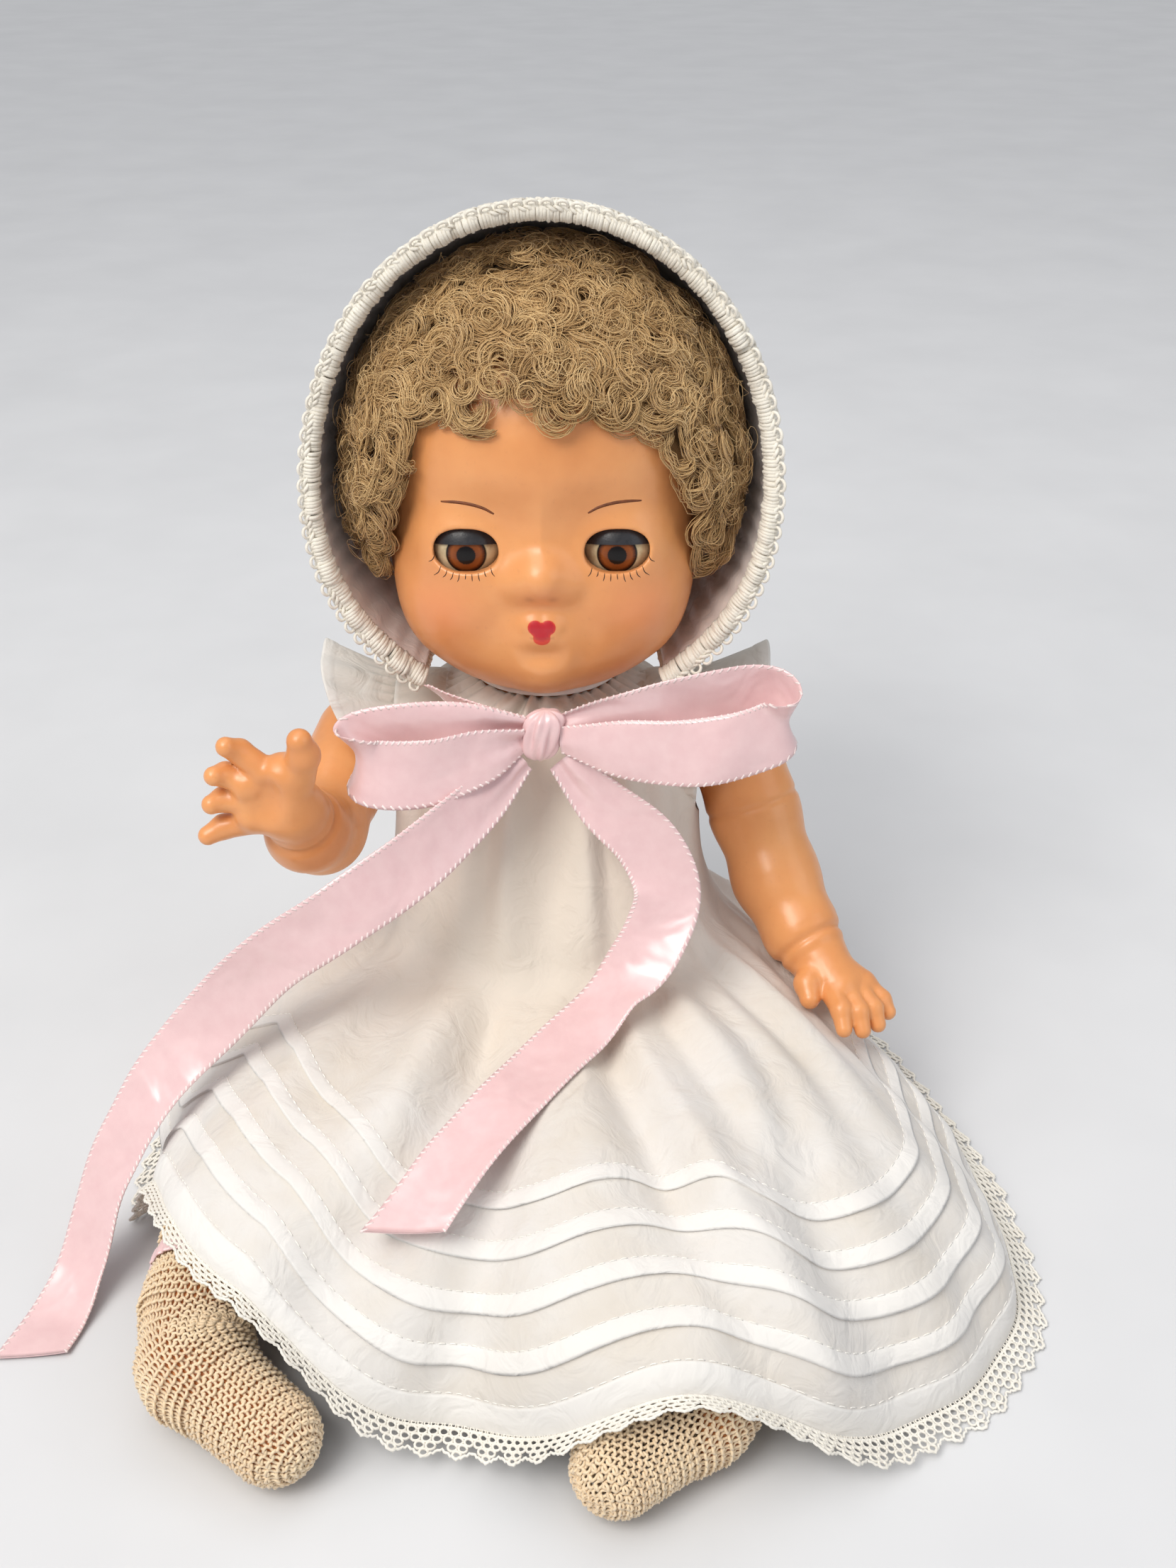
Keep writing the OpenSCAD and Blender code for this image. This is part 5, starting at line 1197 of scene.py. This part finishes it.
inside = (np.abs(Vf[:, 0]) > 16) & (rad_ < 11.2)
F = F[~inside[F].any(1)]
used = np.zeros(len(Vf), bool); used[F.ravel()] = True
snap = used & (np.abs(Vf[:, 0]) > 16) & (rad_ < 12.1)
Vf[snap, 1] = 15.5 + (Vf[snap, 1] - 15.5) * 12.1 / rad_[snap]
Vf[snap, 2] = 62 + (Vf[snap, 2] - 62) * 12.1 / rad_[snap]
remap = np.cumsum(used) - 1
warm = (np.clip(front * sstep(L_, 2, 10) * (1 - sstep(L_, 55, 80)), 0, 1)).ravel()
uvd = np.stack([a2 * 40, L_, 0 * L_], -1).reshape(-1, 3)
dress = build("dress", Vf[used], remap[F].astype(np.int32), BATISTE, {"uv": uvd[used], "lay": lay.ravel()[used], "warm": warm[used]})
finish_mesh(dress, 0.00022)
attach(dress, "torso"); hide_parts("dress_bodice", "dress_skirt")

def on_dress(Dv, av, up=0.0):
    """A point of the finished dress at arc distance D from the hem and plan angle a."""
    fj = (np.asarray(av) / (2 * math.pi) * na) % na
    j0 = fj.astype(int) % na; j1 = (j0 + 1) % na; w = (fj - np.floor(fj))[..., None]
    rowD = D[:, 0][::-1]
    fi = np.interp(Dv, rowD, np.arange(M)[::-1]) + 0 * fj
    i0 = np.clip(np.floor(fi).astype(int), 0, M - 2); v = (fi - i0)[..., None]
    def at(X):
        return (X[i0, j0] * (1 - v) + X[i0 + 1, j0] * v) * (1 - w) + (X[i0, j1] * (1 - v) + X[i0 + 1, j1] * v) * w
    return at(V) + at(nrm) * up

# running stitches above the hem and along each tuck
st = Tubes()
per = 425.0
n = int(per / 1.7)
for Dv in (5.05,) + tuple(e + 2.62 for e in TUCK):
    ac = (np.arange(n) + 0.3 * math.sin(Dv)) * 2 * math.pi / n
    k = np.linspace(-0.5, 0.5, 4)
    aa = ac[:, None] + k[None] * (2 * math.pi / n) * 0.62
    P = on_dress(Dv + 0 * aa, aa, 0.0) + 0
    P = P + (0.06 - 0.10 * (np.abs(k) > 0.4))[None, :, None] * np.array([0, 0, 1.0])
    st.add_many(P, 0.105, 4, np.zeros(n))
st = st.obj("dress_stitching", STITCH)
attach(st, "torso")

# ------------------------------------------------------------------ lace
hemP = V[-1]
out = unit(hem_xy(A) - ring_of(BROWS_D[7], A)[:, :2])
lw_ = 6.0 * (1 + (0.55 - 1) * sstep(0.5 + foot_lift(*hem_xy(A).T), 2, 14))
lift_ = 0.6 * sstep(0.5 + foot_lift(*hem_xy(A).T), 4, 14)
cum = np.concatenate([[0], np.cumsum(np.linalg.norm(np.diff(np.concatenate([hemP, hemP[:1]]), axis=0), axis=1))])
LH = cum[-1]
def on_lace(s, u, up=0.0):
    """s runs round the hem in mm, u from 0 at the hem to 1 at the points."""
    s = np.asarray(s, float) % LH
    fj = np.interp(s, cum, np.arange(na + 1)); j0 = fj.astype(int) % na; j1 = (j0 + 1) % na; w = (fj - np.floor(fj))
    mixv = lambda X: X[j0] * (1 - w.reshape(w.shape + (1,) * (X.ndim - 1))) + X[j1] * w.reshape(w.shape + (1,) * (X.ndim - 1))
    H, O, Wd, Li = mixv(hemP), mixv(out), mixv(lw_), mixv(lift_)
    u = np.asarray(u, float)
    rip = 0.35 * np.sin(s / 5.3) * u + 0.3 * np.sin(s / 2.9 + 1) * u
    P = H.copy()
    P[..., :2] += O * ((u * Wd * 1.02 - 0.35)[..., None])
    P[..., 2] = np.maximum(0.42, P[..., 2] - 0.15 + u * Li + rip * 0.6 + 0.25 * (1 - u)) + up
    return P
lace = Tubes()
unitp = 1.5
ns = int(LH / (3 * unitp)); unitp = LH / (3 * ns)               # three net holes to a point
NR = 3 * ns
def rings(sc, uc, rs, ru, r, seg=11, wob=0.0):
    th = np.linspace(0, 2 * math.pi, seg)
    s = sc[:, None] + rs * np.cos(th)[None]
    u = uc[:, None] + ru * np.sin(th)[None]
    P = on_lace(s, u, 0.0 + 0.05 * np.sin(th * 2)[None] + 0 * s)
    lace.add_many(P, r, 5, np.full(len(sc), 0.12))
k = np.arange(NR)
rows_u = (0.0, 0.20, 0.42, 0.63, 0.84)
kb = np.arange(int(LH / 0.95)); rings(kb * LH / len(kb), np.full(len(kb), 0.085), 0.34, 0.055, 0.13, 9)
rings((k + 0.0) * unitp, np.full(NR, 0.275), 0.66, 0.105, 0.2)
rings((k + 0.5) * unitp, np.full(NR, 0.475), 0.66, 0.105, 0.2)
k2 = k[(k % 3) != 2]
rings((k2 + 1.0) * unitp, np.full(len(k2), 0.675), 0.66, 0.105, 0.2)
k3 = k[(k % 3) == 0]
rings((k3 + 1.5) * unitp, np.full(len(k3), 0.865), 0.62, 0.10, 0.22)
for uu_, amp_, r_ in ((0.02, 0.0, 0.2), (0.155, 0.0, 0.17)):
    s = np.linspace(0, LH, int(LH / 0.6))
    for ph_ in (0, math.pi):
        P = on_lace(s, uu_ + 0.022 * np.sin(s * 2 * math.pi / 2.2 + ph_), 0.05 * np.cos(s * 2 * math.pi / 2.2 + ph_))
        lace.add_many(P[None], r_, 5, np.zeros(1))
s = np.linspace(0, LH, int(LH / 0.3))                          # scalloped edge cord through the points
ph_ = (s / unitp) % 3 - 1.5
P = on_lace(s, 0.99 - 0.24 * np.abs(np.abs(ph_) - 0.0) / 1.5 + 0.03 * np.cos(s * 8), 0.02)
lace.add_many(P[None], 0.21, 5, np.zeros(1))
lc = lace.obj("hem_lace_net", LACE)
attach(lc, "torso"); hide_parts("hem_lace")

# ------------------------------------------------------------------ sleeves and shoulders
SH = np.array([15.5, 62.0])
for s, nm in ((1, "left"), (-1, "right")):
    nb, nu_ = 360, 34
    b = np.linspace(0, 2 * math.pi, nb, endpoint=False)[None] + np.zeros((nu_, 1))
    u = np.linspace(-0.03, 1, nu_)[:, None] + 0 * b
    long = np.maximum(0, np.cos(b)) ** 0.8
    wv = 0.9 * u * np.sin(9 * b) * long
    gn = ring_noise(60 + s, 26, 46)(b)
    gm = ring_noise(70 + s, 9, 17)(b)
    x = 24.4 + u * (0.7 + 12.2 * long)
    hemr = np.where(u > 0.86, 0.16, 0.0) - 0.1 * bell(u, 0.86, 0.015)
    r = 11.55 + np.maximum(u, 0) * long * (5.0 + wv) + 0.30 * gn * np.exp(-(u / 0.25) ** 2) * (0.4 + long) + 0.42 * gm * sstep(u, 0.1, 0.8) * long + hemr * long
    if s < 0:
        pass
    V3 = np.stack([s * x, SH[0] + r * np.sin(b), SH[1] + r * np.cos(b)], -1)
    Fs = grid_faces(nu_, nb, True)
    if s < 0:
        Fs = Fs[:, ::-1]
    sl = build(nm + "_sleeve_cloth", V3.reshape(-1, 3), Fs, BATISTE, {"uv": np.stack([b * 13, u * 13, 0 * u], -1).reshape(-1, 3), "lay": (0.85 * (u > 0.86)).ravel(), "warm": (0.25 * (1 - u)).ravel()})
    finish_mesh(sl, 0.0002)
    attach(sl, nm + "_arm"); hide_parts(nm + "_sleeve")
    tb = Tubes()
    nst = 44
    bc = np.linspace(-1.42, 1.42, nst)
    kk = np.linspace(-0.5, 0.5, 4)
    bb = bc[:, None] + kk[None] * 0.038
    lg = np.maximum(0, np.cos(bb)) ** 0.8
    uu = 0.85
    gmv = ring_noise(70 + s, 9, 17)(bb)
    rr = 11.55 + uu * lg * (5.0 + 0.9 * uu * np.sin(9 * bb) * lg) + 0.42 * gmv * lg * sstep(uu, 0.1, 0.8) + 0.06
    P = np.stack([s * (24.4 + uu * (0.7 + 12.2 * lg)), SH[0] + rr * np.sin(bb), SH[1] + rr * np.cos(bb)], -1)
    tb.add_many(P, 0.1, 4, np.zeros(nst))
    so = tb.obj(nm + "_sleeve_stitching", STITCH)
    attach(so, nm + "_arm")
    # the shoulder of the dress, from the neck slope out to the sleeve
    nb, nu_ = 240, 16
    b = np.linspace(-3.0, 3.0, nb)[None] + np.zeros((nu_, 1))
    u = np.linspace(0, 1, nu_)[:, None] + 0 * b
    g = ring_noise(80 + s, 22, 40)(b)
    x = 13.5 + 11.5 * u
    r = 12.2 + 0.18 * g * sstep(u, 0.2, 0.9) - 0.9 * (1 - sstep(u, 0.0, 0.45)) + 0.25 * sstep(u, 0.93, 1.0)
    V3 = np.stack([s * x, SH[0] + r * np.sin(b), SH[1] + r * np.cos(b)], -1)
    Fs = grid_faces(nu_, nb)
    if s < 0:
        Fs = Fs[:, ::-1]
    yo = build(nm + "_shoulder_cloth", V3.reshape(-1, 3), Fs, BATISTE, {"uv": np.stack([b * 12.5, x, 0 * u], -1).reshape(-1, 3), "lay": (0.6 * sstep(u, 0.9, 1)).ravel(), "warm": (0.4 + 0 * u).ravel()})
    finish_mesh(yo, 0.0002)
    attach(yo, "torso")

# bias binding round the neck
nb, nc = 260, 18
b = np.linspace(0, 2 * math.pi, nb, endpoint=False)[:, None] + np.zeros((1, nc))
c = np.linspace(0, 2 * math.pi, nc, endpoint=False)[None] + 0 * b
gb = ring_noise(90, 20, 50)(b)
rr = 12.0 + 0.72 * np.cos(c) + 0.07 * gb
zz = 76.25 + 0.68 * np.sin(c) + 0.06 * gb
V3 = np.stack([rr * np.cos(b), 17.4 + rr * np.sin(b), zz], -1)
Fb = np.stack([np.arange(nb)[:, None] * nc + np.arange(nc)[None], ((np.arange(nb) + 1) % nb)[:, None] * nc + np.arange(nc)[None],
               ((np.arange(nb) + 1) % nb)[:, None] * nc + ((np.arange(nc) + 1) % nc)[None], np.arange(nb)[:, None] * nc + ((np.arange(nc) + 1) % nc)[None]], -1).reshape(-1, 4).astype(np.int32)
nbd = build("neck_binding_cloth", V3.reshape(-1, 3), Fb, BATISTE, {"uv": np.stack([b * 12, c * 0.7, 0 * b], -1).reshape(-1, 3), "lay": np.full(nb * nc, 0.9), "warm": np.zeros(nb * nc)})
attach(nbd, "torso"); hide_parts("dress_neck_binding")

# ------------------------------------------------------------------ socks
def sock(nm, s):
    pts = LEG[nm]
    P = np.array([q[0] for q in pts], float)
    fld = leg_field(pts, s, 0.0)
    c = spline(P[2:], 16)
    seg = np.concatenate([[0], np.cumsum(np.linalg.norm(np.diff(c, axis=0), axis=1))])
    l3 = seg[16]
    start = l3 + 2.6
    step_ = 1.12
    st_ = np.arange(start, seg[-1], step_)
    def at(l):
        return np.stack([np.interp(l, seg, c[:, k]) for k in range(3)], -1)
    T = unit(at(st_ + 0.6) - at(st_ - 0.6))
    C = at(st_)
    N0 = np.zeros_like(T)
    n0 = np.array([0, 0, 1.0])
    for i in range(len(T)):
        n0 = n0 - T[i] * np.dot(n0, T[i]); n0 = n0 / np.linalg.norm(n0); N0[i] = n0
    B0 = np.cross(T, N0)
    tip_r = pts[-1][1]
    ncap = int(math.ceil((tip_r + 1.0) * 1.5 / step_))
    def place(Cc, Tt, Na, Ba, tilt, th, offs):
        """March out from the axis to the level set offs of the foot."""
        d = (Na * np.cos(th)[..., None] + Ba * np.sin(th)[..., None]) * math.cos(tilt) + Tt * math.sin(tilt)
        R = np.full(th.shape, 5.0)
        for _ in range(9):
            v = fld(Cc + d * R[..., None]) - offs
            R = R - np.clip(v, -3, 3) * 0.9
        return Cc + d * R[..., None]
    tb = Tubes()
    kt = 10
    for i in range(len(st_) + ncap):
        if i < len(st_):
            Cc, Tt, Na, Ba, tilt = C[i], T[i], N0[i], B0[i], 0.0
        else:
            Cc, Tt, Na, Ba = C[-1], T[-1], N0[-1], B0[-1]
            tilt = min(1.50, (i - len(st_) + 1) * step_ / (tip_r + 1.0))
        rr = np.mean(np.linalg.norm(place(Cc, Tt, Na, Ba, tilt, np.linspace(0, 6.2, 12), np.zeros(12)) - Cc, axis=-1)) * math.cos(tilt)
        nst = max(5, int(2 * math.pi * (rr + 0.7) / 1.42))
        t = np.arange(nst * kt + 1) / kt
        q = 2 * math.pi * t
        th = (t * 2 * math.pi / nst) + 0.20 * (2 * math.pi / nst) * np.sin(2 * q) + 0.02 * i
        wav = 0.86 * np.cos(q)
        offs = 0.62 + 0.24 * np.cos(2 * q + 0.3) + 0.10 * np.sin(i * 2.1)
        base = place(Cc, Tt, Na, Ba, tilt, th, offs)
        if i < len(st_):
            tang = Tt[None] + 0 * base
        else:
            rd = Na * np.cos(th)[:, None] + Ba * np.sin(th)[:, None]
            tang = -rd * math.sin(tilt) + Tt * math.cos(tilt)
        X = base + tang * (wav * (1.0 if tilt < 1.0 else 0.6))[:, None]
        X[:, 2] = np.maximum(X[:, 2], 0.55)
        tb.add_many(X[None], 0.235, 5, np.full(1, 0.10 + 0.1 * math.sin(i * 1.7)))
    # ribbed welt where the sock starts
    for k in range(5):
        l = start - 0.5 * k
        Tt = unit(at(l + 0.6) - at(l - 0.6)); Na = N0[0]; Na = unit(Na - Tt * np.dot(Na, Tt)); Ba = np.cross(Tt, Na)
        th = np.linspace(0, 2 * math.pi, 150)
        X = place(at(l), Tt, Na, Ba, 0.0, th, 0.6 + 0.16 * np.sin(34 * th + k * math.pi))
        tb.add_many(X[None], 0.27, 5, np.full(1, 0.05))
    ob = tb.obj(nm + "_sock_knit", KNIT)
    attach(ob, nm + "_leg"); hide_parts(nm + "_sock")
    # satin tied round the ankle
    p3, p4 = P[3], P[4]
    mid = p4 + (p3 - p4) * 0.42
    li = float(seg[np.argmin(np.linalg.norm(c - mid, axis=1))])
    nbr, nv = 260, 9
    th = np.linspace(0, 2 * math.pi, nbr, endpoint=False)[None] + np.zeros((nv, 1))
    v = np.linspace(-1, 1, nv)[:, None] + 0 * th
    Tt = unit(at(li + 0.6) - at(li - 0.6)); Na = np.array([0, 0, 1.0]); Na = unit(Na - Tt * np.dot(Na, Tt)); Ba = np.cross(Tt, Na)
    rip = ring_noise(100 + s, 16, 34)(th)
    base = place(at(li), Tt, Na, Ba, 0.0, th, 1.15 + 0.12 * (1 - v ** 2) + 0.14 * rip)
    X = base + Tt * (v * 1.25 + 0.12 * rip * v)[..., None]
    rd = unit(base - at(li))
    outer, innr = X + rd * 0.14, X - rd * 0.14
    outer[..., 2] = np.maximum(outer[..., 2], 0.35); innr[..., 2] = np.maximum(innr[..., 2], 0.45)
    Vr = np.concatenate([outer, innr[::-1]], 0)
    F1 = grid_faces(2 * nv, nbr, True)
    j = np.arange(nbr)
    F2 = np.stack([(2 * nv - 1) * nbr + j, (2 * nv - 1) * nbr + (j + 1) % nbr, (j + 1) % nbr, j], -1).astype(np.int32)
    uvr = np.concatenate([np.stack([v * 0.97, th * 8, 0 * v], -1), np.stack([v * 0.97, th * 8, 0 * v + 1], -1)[::-1]], 0)
    rb = build(nm + "_ankle_satin", Vr.reshape(-1, 3), [F1, F2], SATIN, {"uv": uvr.reshape(-1, 3)})
    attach(rb, nm + "_leg"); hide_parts(nm + "_sock_ribbon")
sock("left", 1); sock("right", -1)

# ------------------------------------------------------------------ floor and light
me = bpy.data.meshes.new("floor")
me.from_pydata([(-6, -6, 0), (6, -6, 0), (6, 9, 0), (-6, 9, 0)], [], [(0, 1, 2, 3)])
floor = bpy.data.objects.new("floor", me)
bpy.context.scene.collection.objects.link(floor)
fm, fnt, fb = material("floor_paint", (0.70, 0.705, 0.72), 0.75)
n = N(fnt)
fc = n.noise(n.coord(0.02), 1.0, 3)
fnt.links.new(n.mix(n.maprange(fc, 0.3, 0.7, 0, 1), (0.70, 0.705, 0.72), (0.66, 0.665, 0.68)), fb.inputs["Base Color"])
me.materials.append(fm)

world = bpy.data.worlds.new("studio")
bpy.context.scene.world = world
world.use_nodes = True
world.node_tree.nodes["Background"].inputs[0].default_value = (0.93, 0.955, 1.0, 1)
world.node_tree.nodes["Background"].inputs[1].default_value = 0.40

def area_light(name, loc, target, size, power, color=(1, 1, 1)):
    ld = bpy.data.lights.new(name, 'AREA')
    ld.shape = 'RECTANGLE'; ld.size, ld.size_y = size
    ld.energy = power; ld.color = color
    lo = bpy.data.objects.new(name, ld)
    lo.location = loc
    aim(lo, target)
    bpy.context.scene.collection.objects.link(lo)
sun = bpy.data.objects.new("sky", bpy.data.lights.new("sky", 'SUN'))
sun.data.energy, sun.data.angle, sun.data.color = 1.15, 0.9, (1.0, 0.985, 0.96)
sun.location = (-0.3, -0.3, 1.0)
aim(sun, (0, 0, 0))
bpy.context.scene.collection.objects.link(sun)
area_light("key", (-0.30, -0.42, 0.62), (0, 0, 0.07), (0.34, 0.34), 2.9, (1.0, 0.965, 0.91))
area_light("fill", (0.60, -0.30, 0.40), (0, 0, 0.06), (0.5, 0.5), 0.7, (0.94, 0.96, 1.0))
area_light("top", (0.05, 0.25, 0.75), (0, 0, 0.08), (0.5, 0.5), 0.8, (1.0, 0.98, 0.95))

bpy.context.scene.view_settings.view_transform = 'Standard'
